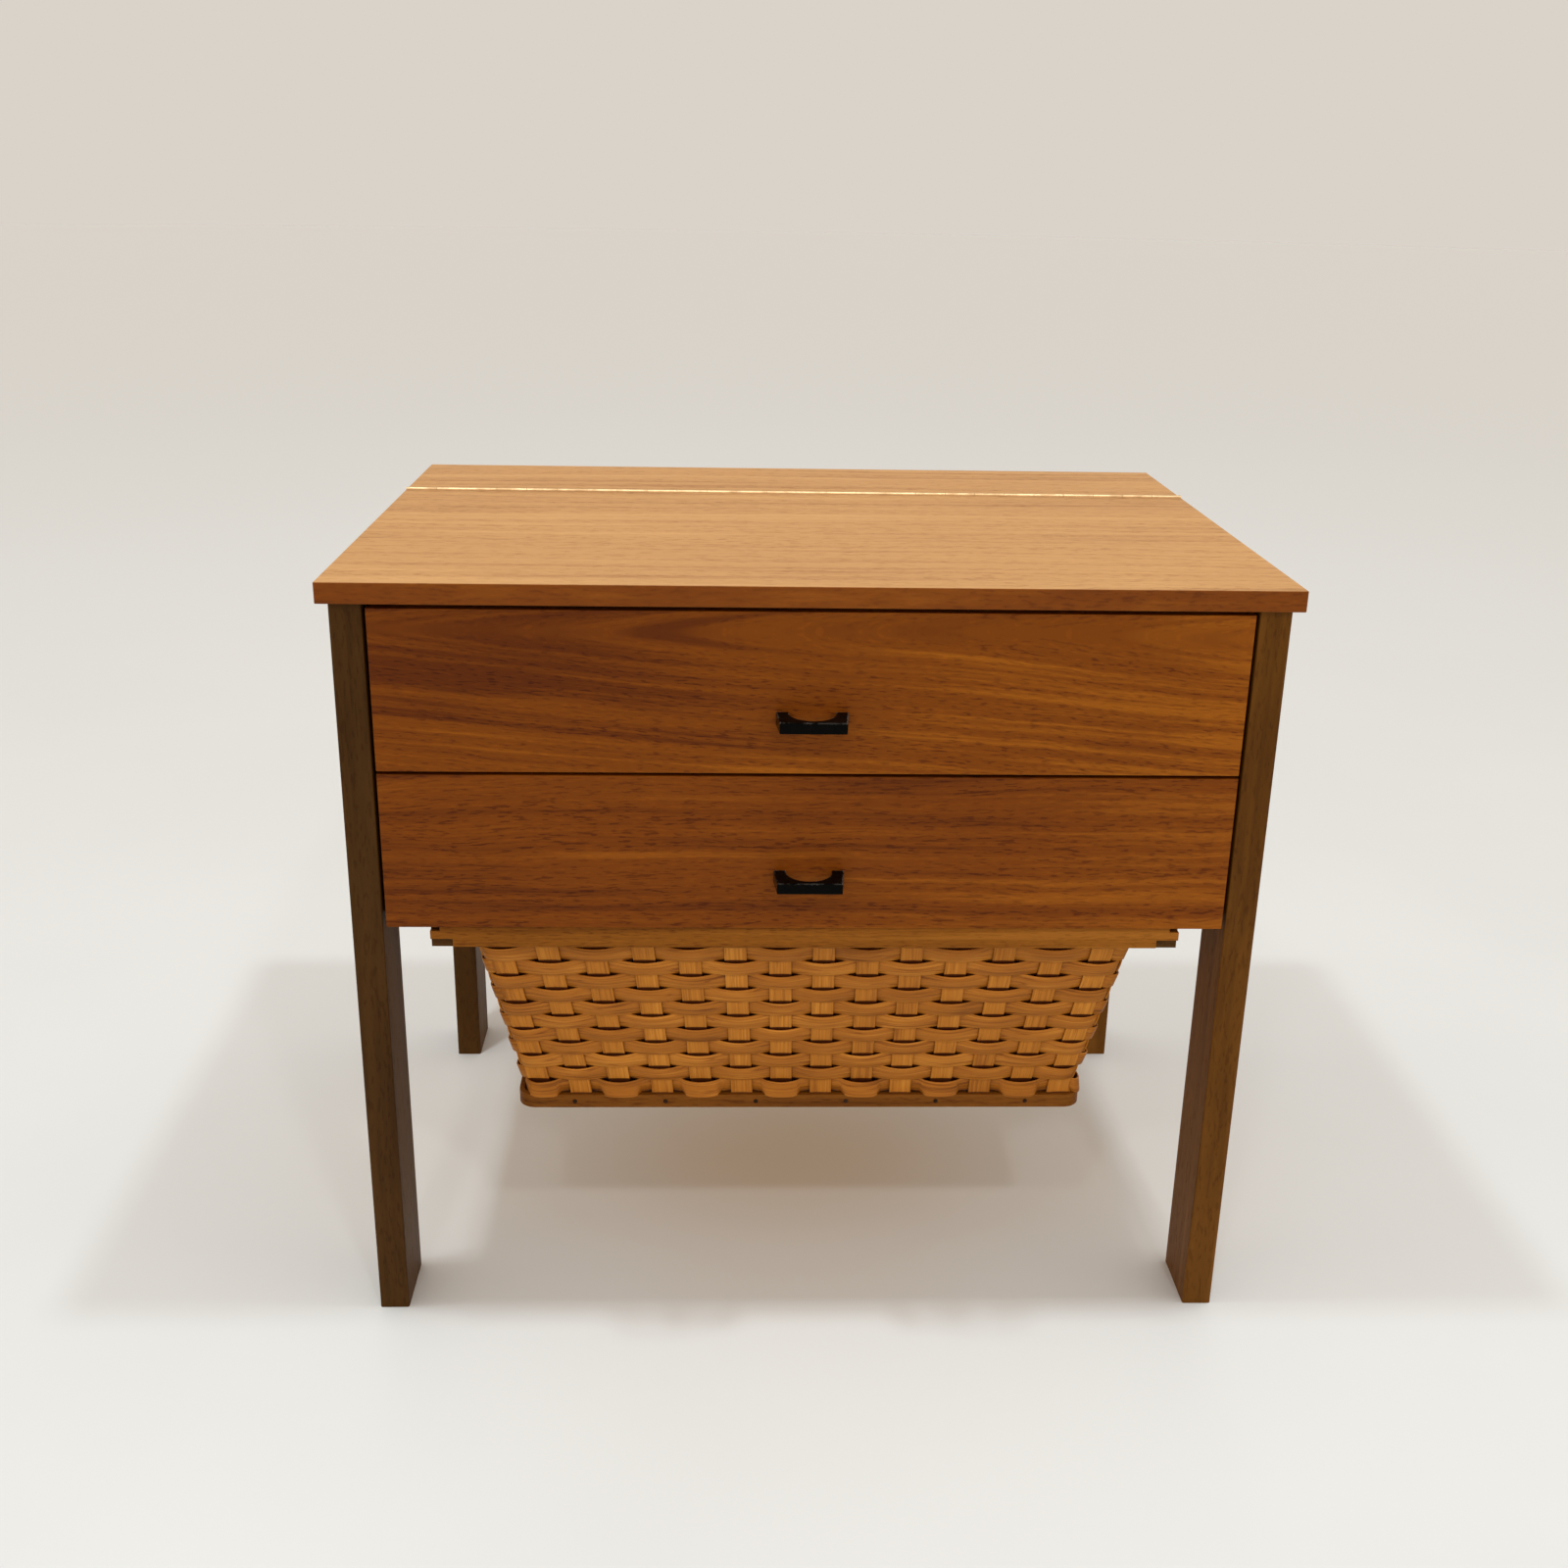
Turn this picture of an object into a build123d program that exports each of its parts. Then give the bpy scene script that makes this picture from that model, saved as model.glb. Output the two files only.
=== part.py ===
from build123d import *

import math
import os

# Sewing table: a two-drawer carcass on four plank legs, under a top whose front part is a lid on a
# full-width piano hinge, with a woven basket that hangs in two runners and pulls out to the front.
# X runs to the right, Y to the back and Z up. The origin is on the floor, under the middle of the table.

# Top: a lid in front of the hinge and a fixed strip behind it
top_width = 650.0
top_depth = 466.0
top_height = 562.0
top_thickness = 14.5
lid_depth = 340.0
top_ease = 0.7

# Legs: upright planks, set in from the top's edges
leg_thickness = 21.5
leg_depth = 55.0
leg_ease = 1.5
side_overhang = 7.5
front_overhang = 4.0
rear_leg_setback = 397.0

# Carcass between the legs
panel_thickness = 16.0
panel_bottom = 321.0
panel_setback = 0.5
back_thickness = 8.0
bottom_thickness = 10.0
bottom_rebate = 6.0
rail_thickness = 12.0
front_rail_depth = 30.0
middle_rail_depth = 40.0
rear_rail_depth = 60.0
rear_rail_thickness = 16.0
rear_clearance = 2.0

# Drawers: an overlaid front on a box with grooves that ride on side runners
front_thickness = 16.0
front_height = 112.5
front_side_gap = 2.5
front_top_gap = 3.5
front_between_gap = 2.5
box_rise = 16.0
box_height = 82.0
box_length = 400.0
box_side_gap = 12.0
box_thickness = 12.0
drawer_bottom_thickness = 4.0
drawer_bottom_rise = 5.0
drawer_bottom_inset = 5.0
groove_depth = 6.0
groove_rise = 18.0
runner_height = 12.0
runner_end_gap = 10.0
slide_clearance = 0.3
divider_thickness = 6.0
divider_height = 43.0
divider_setback = 120.0
divider_spread = 85.0
glue_gap = 0.1
rack_length = 234.0
rack_depth = 84.0
rack_thickness = 8.0
rack_setback = 18.0
peg_radius = 2.5
peg_height = 34.0
peg_inset = 6.0
peg_pitch_x = 42.0
peg_pitch_y = 40.0

# Handles: cast bow pulls with a scooped finger recess
handle_projection = 22.0
handle_wall_width = 49.0
handle_front_width = 45.0
handle_wall_height = 9.6
handle_front_height = 8.0
handle_recess_radius = 16.0
handle_recess_setback = 1.5
handle_screw_pitch = 40.0
handle_ease = 0.8
handle_rise = 39.0

# Piano hinge: knuckles of 25 mm turn by turn on the two leaves, around one long pin
knuckle_count = 26
knuckle_pitch = 25.0
knuckle_gap = 0.4
barrel_radius = 1.8
hinge_pin_radius = 0.8
hinge_bore_radius = 0.86
leaf_thickness = 0.8
leaf_gap = 0.2
leaf_depth = 13.0
barrel_relief = 2.1
hinge_screw_count = 8
hinge_screw_pitch = 84.0

# Lid stay: a slotted quadrant, concentric with the hinge, that runs on a fixed pin
lid_opening = 95.0
stay_radius = 78.0
stay_width = 12.0
stay_thickness = 2.5
stay_slot_width = 4.6
stay_pin_radius = 2.0
stay_pin_angle = 198.0
stay_inset = 5.0
stay_foot_width = 22.0
stay_foot_length = 26.0

# Fasteners
leg_bolt_heights = (380.0, 505.0)
leg_bolt_head = 5.0
leg_bolt_radius = 2.5
leg_bolt_length = 31.0
rail_dowel_radius = 4.0
rail_dowel_length = 22.0
runner_screw_places = (-150.0, 0.0, 150.0)
runner_screw_head = 3.2
runner_screw_radius = 1.6
runner_screw_length = 28.0
basket_screw_places = (-180.0, -60.0, 60.0, 180.0)
basket_screw_head = 2.6
basket_screw_radius = 1.5
basket_screw_length = 28.6
top_screw_places = (-210.0, -70.0, 70.0, 210.0)
top_screw_head = 3.6
top_screw_radius = 1.8
top_screw_length = 25.0
hinge_screw_head = 1.9
hinge_screw_radius = 1.0
hinge_screw_length = 12.0
hinge_screw_drop = 8.5
stay_screw_head = 2.8
stay_screw_radius = 1.5
stay_screw_length = 12.0
stay_screw_spread = 8.0
stay_screw_setback = 14.0
handle_screw_head = 4.0
handle_screw_radius = 2.0
handle_screw_grip = 12.0
pan_height = 2.6
box_dowel_radius = 3.0
box_dowel_rises = (36.0, 66.0)
front_dowel_length = 24.0
back_dowel_length = 20.0

# Basket: a stepped frame in L-section runners, a tapered woven wall and a base with a nailed band
basket_front_setback = 6.0
frame_depth = 424.0
frame_bottom = 300.4
frame_height = 15.4
frame_step_rise = 6.0
frame_half_width = 257.2
frame_lower_half_width = 248.5
frame_inner_half_width = 238.0
frame_bar_depth = 10.5
ear_half_width = 264.0
ear_thickness = 4.0
ear_height = 6.1
basket_runner_gap = 0.4
basket_runner_drop = 1.6
weave_slope = 0.2057
weave_top = 313.0
weave_thickness = 3.6
weave_clearance = 0.6
weave_top_corner = 10.0
weave_bottom_corner = 9.5
base_bottom = 150.5
base_height = 10.5
band_proud = 3.8
band_corner = 13.0
rim_thickness = 3.0
rim_height = 10.0
nail_spacing = 68.0

# Places that follow from the driving sizes
handle_proud = handle_projection - front_overhang
top_front = handle_proud - (top_depth + handle_proud) / 2
top_back = top_front + top_depth
top_underside = top_height - top_thickness
half_top = top_width / 2
leg_outer = half_top - side_overhang
leg_inner = leg_outer - leg_thickness
panel_inner = leg_inner - panel_thickness
front_face = top_front + front_overhang
front_back = front_face + front_thickness
rear_leg_front = top_front + rear_leg_setback
carcass_front = front_back + panel_setback
carcass_back = rear_leg_front + leg_depth - rear_clearance
back_inner = carcass_back - back_thickness
bottom_top = panel_bottom + bottom_thickness
upper_front_bottom = top_underside - front_top_gap - front_height
lower_front_bottom = upper_front_bottom - front_between_gap - front_height
middle_rail_top = upper_front_bottom + 4.5
box_outer = panel_inner - box_side_gap
box_inner = box_outer - box_thickness
box_back = front_back + box_length
hinge_y = top_front + lid_depth
basket_front = top_front + basket_front_setback
basket_back = basket_front + frame_depth
basket_middle = (basket_front + basket_back) / 2
frame_top = frame_bottom + frame_height
frame_step = frame_bottom + frame_step_rise

os.makedirs("parts", exist_ok=True)


def save(builder, label):
    """Label a finished piece and write it as its own file."""
    builder.part.label = label
    export_step(builder.part, f"parts/{label}.step")


def block(x, y, z, cutters=(), eased=None, ease=0.0):
    """Board between the (low, high) limits on each axis, with its cutters taken away."""
    with BuildPart() as board:
        with BuildSketch(Plane.XY.offset(min(z))):
            with Locations(((x[0] + x[1]) / 2, (y[0] + y[1]) / 2)):
                Rectangle(abs(x[1] - x[0]), abs(y[1] - y[0]))
        extrude(amount=abs(z[1] - z[0]))
        if eased is not None:
            fillet(board.edges().filter_by(eased), ease)
        for cutter in cutters:
            add(cutter, mode=Mode.SUBTRACT)
    return board


def turned(start, direction, profile):
    """Turned piece: the profile lists (radius, distance along the axis) from end to end."""
    axis = Axis(start, direction)
    radial = Plane(start, z_dir=direction).x_dir
    with BuildPart() as piece:
        with BuildSketch(Plane(start, x_dir=radial, z_dir=radial.cross(axis.direction))):
            with BuildLine():
                Polyline((0, profile[0][1]), *profile, (0, profile[-1][1]), close=True)
            make_face()
        revolve(axis=axis)
    return piece.part


def countersunk(start, direction, head_radius, radius, length):
    """Countersunk wood screw whose head is flush at the start point."""
    sink = head_radius - radius
    return turned(start, direction, [(head_radius, 0), (radius, sink), (radius, length)])


def pan_head(start, direction, head_radius, radius, length):
    """Pan-head screw that bears on the surface at the start point."""
    crown = (head_radius * 0.7, -pan_height)
    rim = (head_radius, -pan_height / 2)
    return turned(start, direction, [crown, rim, (head_radius, 0), (radius, 0), (radius, length)])


def dowel(centre, direction, radius, length):
    """Plain wooden dowel about its centre point."""
    return turned(centre, direction, [(radius, -length / 2), (radius, length / 2)])


def group(pieces):
    """Separate solids that share one node."""
    with BuildPart() as items:
        for piece in pieces:
            add(piece)
    return items


sides = (("left", -1), ("right", 1))

# Fasteners of the carcass

leg_middles = {"front": front_face + leg_depth / 2, "rear": rear_leg_front + leg_depth / 2}
leg_bolts = {}
for side_name, side in sides:
    for end_name, leg_y in leg_middles.items():
        leg_bolts[end_name, side_name] = [
            pan_head(
                (side * panel_inner, leg_y, height),
                (side, 0, 0),
                leg_bolt_head,
                leg_bolt_radius,
                leg_bolt_length,
            )
            for height in leg_bolt_heights
        ]
all_leg_bolts = [bolt for bolts in leg_bolts.values() for bolt in bolts]

front_rail_y = (carcass_front, carcass_front + front_rail_depth)
middle_rail_y = (carcass_front + 3.5, carcass_front + 3.5 + middle_rail_depth)
rear_rail_y = (back_inner - rear_rail_depth, back_inner)
rail_dowels = {-1: [], 1: []}
for rail_y, rail_z in (
    (front_rail_y, top_underside - rail_thickness / 2),
    (middle_rail_y, middle_rail_top - rail_thickness / 2),
    (rear_rail_y, top_underside - rear_rail_thickness / 2),
):
    quarter = (rail_y[1] - rail_y[0]) / 4
    for side in (-1, 1):
        for dowel_y in (rail_y[0] + quarter, rail_y[1] - quarter):
            end = (side * panel_inner, dowel_y, rail_z)
            rail_dowels[side].append(dowel(end, (side, 0, 0), rail_dowel_radius, rail_dowel_length))
all_rail_dowels = rail_dowels[-1] + rail_dowels[1]

runner_levels = {
    "upper": upper_front_bottom + box_rise + groove_rise,
    "lower": lower_front_bottom + box_rise + groove_rise,
}
runner_inner = box_outer - groove_depth + slide_clearance
runner_y = (front_back + runner_end_gap, box_back - 2.0)
runner_screws = {}
for level_name, level in runner_levels.items():
    for side_name, side in sides:
        runner_screws[level_name, side_name] = [
            countersunk(
                (side * runner_inner, screw_y, level),
                (side, 0, 0),
                runner_screw_head,
                runner_screw_radius,
                runner_screw_length,
            )
            for screw_y in runner_screw_places
        ]

basket_runner_outer = ear_half_width
basket_runner_web = frame_half_width + basket_runner_gap
basket_runner_lip = frame_lower_half_width + basket_runner_gap
basket_runner_bottom = frame_bottom - basket_runner_drop
basket_runner_y = (basket_front + ear_thickness + 0.5, basket_back + 4.0)
basket_screws = {}
for side_name, side in sides:
    screw_x = side * (basket_runner_web + basket_runner_outer) / 2
    basket_screws[side_name] = [
        countersunk(
            (screw_x, screw_y, basket_runner_bottom),
            (0, 0, 1),
            basket_screw_head,
            basket_screw_radius,
            basket_screw_length,
        )
        for screw_y in basket_screw_places
    ]
all_basket_screws = basket_screws["left"] + basket_screws["right"]

rear_rail_underside = top_underside - rear_rail_thickness
top_screws = [
    countersunk(
        (screw_x, sum(rear_rail_y) / 2, rear_rail_underside),
        (0, 0, 1),
        top_screw_head,
        top_screw_radius,
        top_screw_length,
    )
    for screw_x in top_screw_places
]

# Turned stay pin: a threaded end in the right side panel, a collar, the running part and a head
stay_outer = panel_inner - stay_inset
stay_angle = math.radians(stay_pin_angle)
stay_pin_y = hinge_y + stay_radius * math.cos(stay_angle)
stay_pin_z = top_height + stay_radius * math.sin(stay_angle)
collar_length = stay_inset - 0.6
running_length = stay_inset + stay_thickness + 0.9
stay_pin = turned(
    (panel_inner, stay_pin_y, stay_pin_z),
    (-1, 0, 0),
    [
        (1.6, -12.0),
        (1.6, 0.0),
        (4.4, 0.0),
        (4.4, collar_length),
        (stay_pin_radius, collar_length),
        (stay_pin_radius, running_length),
        (4.0, running_length),
        (3.2, running_length + 2.0),
    ],
)

# Legs

for side_name, side in sides:
    for end_name, leg_y in leg_middles.items():
        leg = block(
            (side * leg_inner, side * leg_outer),
            (leg_y - leg_depth / 2, leg_y + leg_depth / 2),
            (0, top_underside),
            cutters=leg_bolts[end_name, side_name],
            eased=Axis.Z,
            ease=leg_ease,
        )
        save(leg, f"leg_{end_name}_{side_name}")

# Carcass

back_rebate_half = panel_inner + back_thickness
back_panel = block(
    (-back_rebate_half, back_rebate_half), (back_inner, carcass_back), (panel_bottom, top_underside)
)
save(back_panel, "back_panel")

bottom_half = panel_inner + bottom_rebate
carcass_bottom = block(
    (-bottom_half, bottom_half), (carcass_front, back_inner), (panel_bottom, bottom_top), all_basket_screws
)
save(carcass_bottom, "carcass_bottom")

for side_name, side in sides:
    cutters = leg_bolts["front", side_name] + leg_bolts["rear", side_name] + rail_dowels[side]
    cutters += runner_screws["upper", side_name] + runner_screws["lower", side_name]
    cutters += [back_panel.part, carcass_bottom.part]
    if side > 0:
        cutters.append(stay_pin)
    side_panel = block(
        (side * panel_inner, side * leg_inner),
        (carcass_front, carcass_back),
        (panel_bottom, top_underside),
        cutters=cutters,
    )
    save(side_panel, f"side_panel_{side_name}")

rail_x = (-panel_inner, panel_inner)
front_rail_z = (top_underside - rail_thickness, top_underside)
middle_rail_z = (middle_rail_top - rail_thickness, middle_rail_top)
rear_rail_z = (rear_rail_underside, top_underside)
save(block(rail_x, front_rail_y, front_rail_z, all_rail_dowels), "top_front_rail")
save(block(rail_x, middle_rail_y, middle_rail_z, all_rail_dowels), "middle_rail")
save(block(rail_x, rear_rail_y, rear_rail_z, all_rail_dowels + top_screws), "top_rear_rail")

for level_name, level in runner_levels.items():
    for side_name, side in sides:
        runner = block(
            (side * runner_inner, side * panel_inner),
            runner_y,
            (level - runner_height / 2, level + runner_height / 2),
            cutters=runner_screws[level_name, side_name],
        )
        save(runner, f"{level_name}_runner_{side_name}")

# Basket runners: an L section under the carcass, cut low at the front so that the drawer front passes
for side_name, side in sides:
    with BuildPart() as basket_runner:
        with BuildSketch(Plane.XZ.offset(-basket_runner_y[0])):
            with BuildLine():
                Polyline(
                    (side * basket_runner_lip, basket_runner_bottom),
                    (side * basket_runner_outer, basket_runner_bottom),
                    (side * basket_runner_outer, panel_bottom),
                    (side * basket_runner_web, panel_bottom),
                    (side * basket_runner_web, frame_step - basket_runner_gap),
                    (side * basket_runner_lip, frame_step - basket_runner_gap),
                    close=True,
                )
            make_face()
        extrude(amount=basket_runner_y[0] - basket_runner_y[1])
        notch_length = carcass_front - basket_runner_y[0]
        with Locations((side * basket_runner_outer, basket_runner_y[0] + notch_length / 2, panel_bottom)):
            Box(20.0, notch_length, 2 * (panel_bottom - frame_top), mode=Mode.SUBTRACT)
        for screw in basket_screws[side_name]:
            add(screw, mode=Mode.SUBTRACT)
    save(basket_runner, f"basket_runner_{side_name}")

save(group(all_leg_bolts), "leg_bolts")
save(group(all_rail_dowels), "rail_dowels")
save(group([screw for screws in runner_screws.values() for screw in screws]), "drawer_runner_screws")
save(group(all_basket_screws), "basket_runner_screws")
save(group(top_screws), "top_strip_screws")
save(group([stay_pin]), "stay_pin")

# Piano hinge: the leaves stand in the joint between lid and strip, and the barrel shows at the top surface

hinge_screws = {}
knuckle_middle = (knuckle_count - 1) / 2
leaf_middle = leaf_gap + leaf_thickness / 2
strip_top = top_height - barrel_relief
for leaf_name, leaf_side in (("lid", -1), ("fixed", 1)):
    screw_middle = (hinge_screw_count - 1) / 2
    screw_xs = [(index - screw_middle) * hinge_screw_pitch for index in range(hinge_screw_count)]
    hinge_screws[leaf_name] = [
        countersunk(
            (screw_x, hinge_y + leaf_side * leaf_gap, top_height - hinge_screw_drop),
            (0, leaf_side, 0),
            hinge_screw_head,
            hinge_screw_radius,
            hinge_screw_length,
        )
        for screw_x in screw_xs
    ]
    first = 0 if leaf_side < 0 else 1
    knuckle_xs = [(index - knuckle_middle) * knuckle_pitch for index in range(first, knuckle_count, 2)]
    with BuildPart() as leaf:
        with Locations((0, hinge_y + leaf_side * leaf_middle, strip_top - (leaf_depth - barrel_relief) / 2)):
            Box(top_width, leaf_thickness, leaf_depth - barrel_relief)
        with Locations(*[(x, hinge_y, top_height) for x in knuckle_xs]):
            Cylinder(barrel_radius, knuckle_pitch - knuckle_gap, rotation=(0, 90, 0))
        with Locations(*[(x, hinge_y + leaf_side * leaf_middle, strip_top + 0.5) for x in knuckle_xs]):
            Box(knuckle_pitch - knuckle_gap, leaf_thickness, 1.2)
        with Locations((0, hinge_y, top_height)):
            Cylinder(hinge_bore_radius, top_width + 1, rotation=(0, 90, 0), mode=Mode.SUBTRACT)
        for screw in hinge_screws[leaf_name]:
            add(screw, mode=Mode.SUBTRACT)
    save(leaf, f"hinge_leaf_{leaf_name}")
    save(group(hinge_screws[leaf_name]), f"hinge_screws_{leaf_name}")

hinge_pin = dowel((0, hinge_y, top_height), (1, 0, 0), hinge_pin_radius, top_width - 1.0)
save(group([hinge_pin]), "hinge_pin")

# Lid stay quadrant: an arc strip under the lid, with a foot that is screwed to the lid's underside

slot_margin = 1.0
slot_start = stay_pin_angle - slot_margin
slot_sweep = lid_opening + 2 * slot_margin
stay_centre_line = CenterArc((0, 0), stay_radius, 185.0, slot_start + slot_sweep + 2.0 - 185.0)
slot_centre_line = CenterArc((0, 0), stay_radius, slot_start, slot_sweep)
foot_y = hinge_y - stay_radius
foot_screws = [
    countersunk(
        (stay_outer - stay_screw_setback, foot_y + offset, top_underside - stay_thickness),
        (0, 0, 1),
        stay_screw_head,
        stay_screw_radius,
        stay_screw_length,
    )
    for offset in (-stay_screw_spread, stay_screw_spread)
]
with BuildPart() as stay_quadrant:
    with BuildSketch(Plane.YZ.offset(stay_outer - stay_thickness)):
        with Locations((hinge_y, top_height)):
            SlotArc(stay_centre_line, stay_width)
            SlotArc(slot_centre_line, stay_slot_width, mode=Mode.SUBTRACT)
    extrude(amount=stay_thickness)
    with Locations((stay_outer, foot_y, top_underside + stay_width)):
        Box(2 * stay_width, 5 * stay_width, 2 * stay_width, mode=Mode.SUBTRACT)
    with Locations((stay_outer - stay_foot_width / 2, foot_y, top_underside - stay_thickness / 2)):
        Box(stay_foot_width, stay_foot_length, stay_thickness)
    for screw in foot_screws:
        add(screw, mode=Mode.SUBTRACT)
save(stay_quadrant, "stay_quadrant")
save(group(foot_screws), "stay_screws")

# Top: both boards are relieved along the hinge, concentric with its pin

barrel_channel = dowel((0, hinge_y, top_height), (1, 0, 0), barrel_relief, top_width)
leaf_face = leaf_gap + leaf_thickness


def top_board(y, free_edge, cutters):
    """Board of the top, eased along its free edges but square at the hinge."""
    with BuildPart() as board:
        with BuildSketch(Plane.XY.offset(top_underside)):
            with Locations((0, (y[0] + y[1]) / 2)):
                Rectangle(top_width, y[1] - y[0])
        extrude(amount=top_thickness)
        upright = board.edges().filter_by(Axis.Z).group_by(Axis.Y)[free_edge]
        lengthways = board.edges().filter_by(Axis.X).group_by(Axis.Y)[free_edge]
        ends = board.edges().filter_by(Axis.Y)
        fillet(upright + lengthways + ends, top_ease)
        for cutter in cutters:
            add(cutter, mode=Mode.SUBTRACT)
    return board


lid_panel = top_board(
    (top_front, hinge_y - leaf_face), 0, [barrel_channel] + hinge_screws["lid"] + foot_screws
)
save(lid_panel, "lid_panel")

top_rear_strip = top_board(
    (hinge_y + leaf_face, top_back), -1, [barrel_channel] + hinge_screws["fixed"] + top_screws
)
save(top_rear_strip, "top_rear_strip")

# Drawers

front_half = leg_inner - front_side_gap


def make_handle(height, screws):
    """Bow pull: a plan outline with a round scoop, thinner at the front than at the wall."""
    with BuildPart() as handle:
        with BuildSketch(Plane.XY.offset(height - handle_wall_height / 2)):
            with BuildLine():
                Polyline(
                    (-handle_wall_width / 2, front_face),
                    (handle_wall_width / 2, front_face),
                    (handle_front_width / 2, front_face - handle_projection),
                    (-handle_front_width / 2, front_face - handle_projection),
                    close=True,
                )
            make_face()
            with Locations((0, front_face - handle_recess_setback)):
                Circle(handle_recess_radius, mode=Mode.SUBTRACT)
            with Locations((0, front_face)):
                Rectangle(
                    2 * math.sqrt(handle_recess_radius**2 - handle_recess_setback**2),
                    2 * handle_recess_setback,
                    mode=Mode.SUBTRACT,
                )
        extrude(amount=handle_wall_height)
        with BuildSketch(Plane.YZ.offset(-handle_wall_width / 2)):
            with BuildLine():
                Polyline(
                    (front_face, height - handle_wall_height / 2),
                    (front_face, height + handle_wall_height / 2),
                    (front_face - handle_projection, height + handle_front_height / 2),
                    (front_face - handle_projection, height - handle_front_height / 2),
                    close=True,
                )
            make_face()
        extrude(amount=handle_wall_width, mode=Mode.INTERSECT)
        wall_edges = handle.faces().filter_by(Axis.Y).sort_by(Axis.Y)[-2:].edges()
        fillet(handle.edges() - wall_edges, handle_ease)
        for screw in screws:
            add(screw, mode=Mode.SUBTRACT)
    return handle


def make_drawer(name, front_bottom):
    """Front, sides, back, bottom, dowels, handle and its screws, each as its own piece."""
    box_bottom = front_bottom + box_rise
    box_top = box_bottom + box_height
    panel_low = box_bottom + drawer_bottom_rise
    panel_high = panel_low + drawer_bottom_thickness
    panel_half = box_inner + drawer_bottom_inset
    back_front = box_back - box_thickness
    runner_level = box_bottom + groove_rise
    groove_half = runner_height / 2 + slide_clearance

    bottom = block(
        (-panel_half, panel_half), (front_back - drawer_bottom_inset, box_back), (panel_low, panel_high)
    )
    save(bottom, f"{name}_drawer_bottom")

    dowels = {-1: [], 1: []}
    for side in (-1, 1):
        side_middle = side * (box_inner + box_outer) / 2
        for rise in box_dowel_rises:
            front_middle = (side_middle, front_back + 2.0, box_bottom + rise)
            back_middle = (side * (box_inner - 2.0), (back_front + box_back) / 2, box_bottom + rise)
            dowels[side].append(dowel(front_middle, (0, 1, 0), box_dowel_radius, front_dowel_length))
            dowels[side].append(dowel(back_middle, (1, 0, 0), box_dowel_radius, back_dowel_length))
    all_dowels = dowels[-1] + dowels[1]
    save(group(all_dowels), f"{name}_drawer_dowels")

    handle_z = front_bottom + handle_rise
    handle_screws = [
        pan_head(
            (screw_x, front_back, handle_z),
            (0, -1, 0),
            handle_screw_head,
            handle_screw_radius,
            front_thickness + handle_screw_grip,
        )
        for screw_x in (-handle_screw_pitch / 2, handle_screw_pitch / 2)
    ]
    save(group(handle_screws), f"{name}_handle_screws")
    save(make_handle(handle_z, handle_screws), f"{name}_handle")

    front = block(
        (-front_half, front_half),
        (front_face, front_back),
        (front_bottom, front_bottom + front_height),
        cutters=[bottom.part] + all_dowels + handle_screws,
        eased=Axis.Z,
        ease=top_ease,
    )
    save(front, f"{name}_drawer_front")

    for side_name, side in sides:
        runner_groove = block(
            (side * (box_outer - groove_depth), side * (box_outer + 1.0)),
            (front_back + runner_end_gap - 1.0, box_back + 1.0),
            (runner_level - groove_half, runner_level + groove_half),
        )
        drawer_side = block(
            (side * box_inner, side * box_outer),
            (front_back, box_back),
            (box_bottom, box_top),
            cutters=[bottom.part, runner_groove.part] + dowels[side],
        )
        save(drawer_side, f"{name}_drawer_side_{side_name}")

    back = block((-box_inner, box_inner), (back_front, box_back), (panel_high, box_top), cutters=all_dowels)
    save(back, f"{name}_drawer_back")


make_drawer("upper", upper_front_bottom)
make_drawer("lower", lower_front_bottom)

# Upper drawer's inside: one long divider, two cross dividers and a rack of pegs for thread reels

floor_level = upper_front_bottom + box_rise + drawer_bottom_rise + drawer_bottom_thickness
divider_y = front_back + divider_setback
divider_z = (floor_level, floor_level + divider_height)
long_divider_y = (divider_y - divider_thickness / 2, divider_y + divider_thickness / 2)
long_divider = block((-box_inner, box_inner), long_divider_y, divider_z)
cross_dividers = [
    block(
        (x - divider_thickness / 2, x + divider_thickness / 2),
        (divider_y + divider_thickness / 2 + glue_gap, box_back - box_thickness),
        divider_z,
    )
    for x in (-divider_spread, divider_spread)
]
save(group([long_divider.part] + [divider.part for divider in cross_dividers]), "upper_drawer_dividers")

rack_x = (box_inner - 2.0 - rack_length, box_inner - 2.0)
rack_y = (front_back + rack_setback, front_back + rack_setback + rack_depth)
rack_z = (floor_level, floor_level + rack_thickness)
rack_middle = (sum(rack_x) / 2, sum(rack_y) / 2)
peg_middle_z = rack_z[1] + peg_height / 2 - peg_inset
peg_centres = [
    (rack_middle[0] + column * peg_pitch_x, rack_middle[1] + row * peg_pitch_y / 2, peg_middle_z)
    for column in (-2, -1, 0, 1, 2)
    for row in (-1, 1)
]
pegs = [dowel(centre, (0, 0, 1), peg_radius, peg_height) for centre in peg_centres]
hole_radius = peg_radius + glue_gap
hole_length = peg_height + 2 * glue_gap
peg_holes = [dowel(centre, (0, 0, 1), hole_radius, hole_length) for centre in peg_centres]
rack_board = block(rack_x, rack_y, rack_z, cutters=peg_holes)
save(group([rack_board.part] + pegs), "thread_rack")

# Basket frame: four bars, with a flange that rides in the runners

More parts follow.
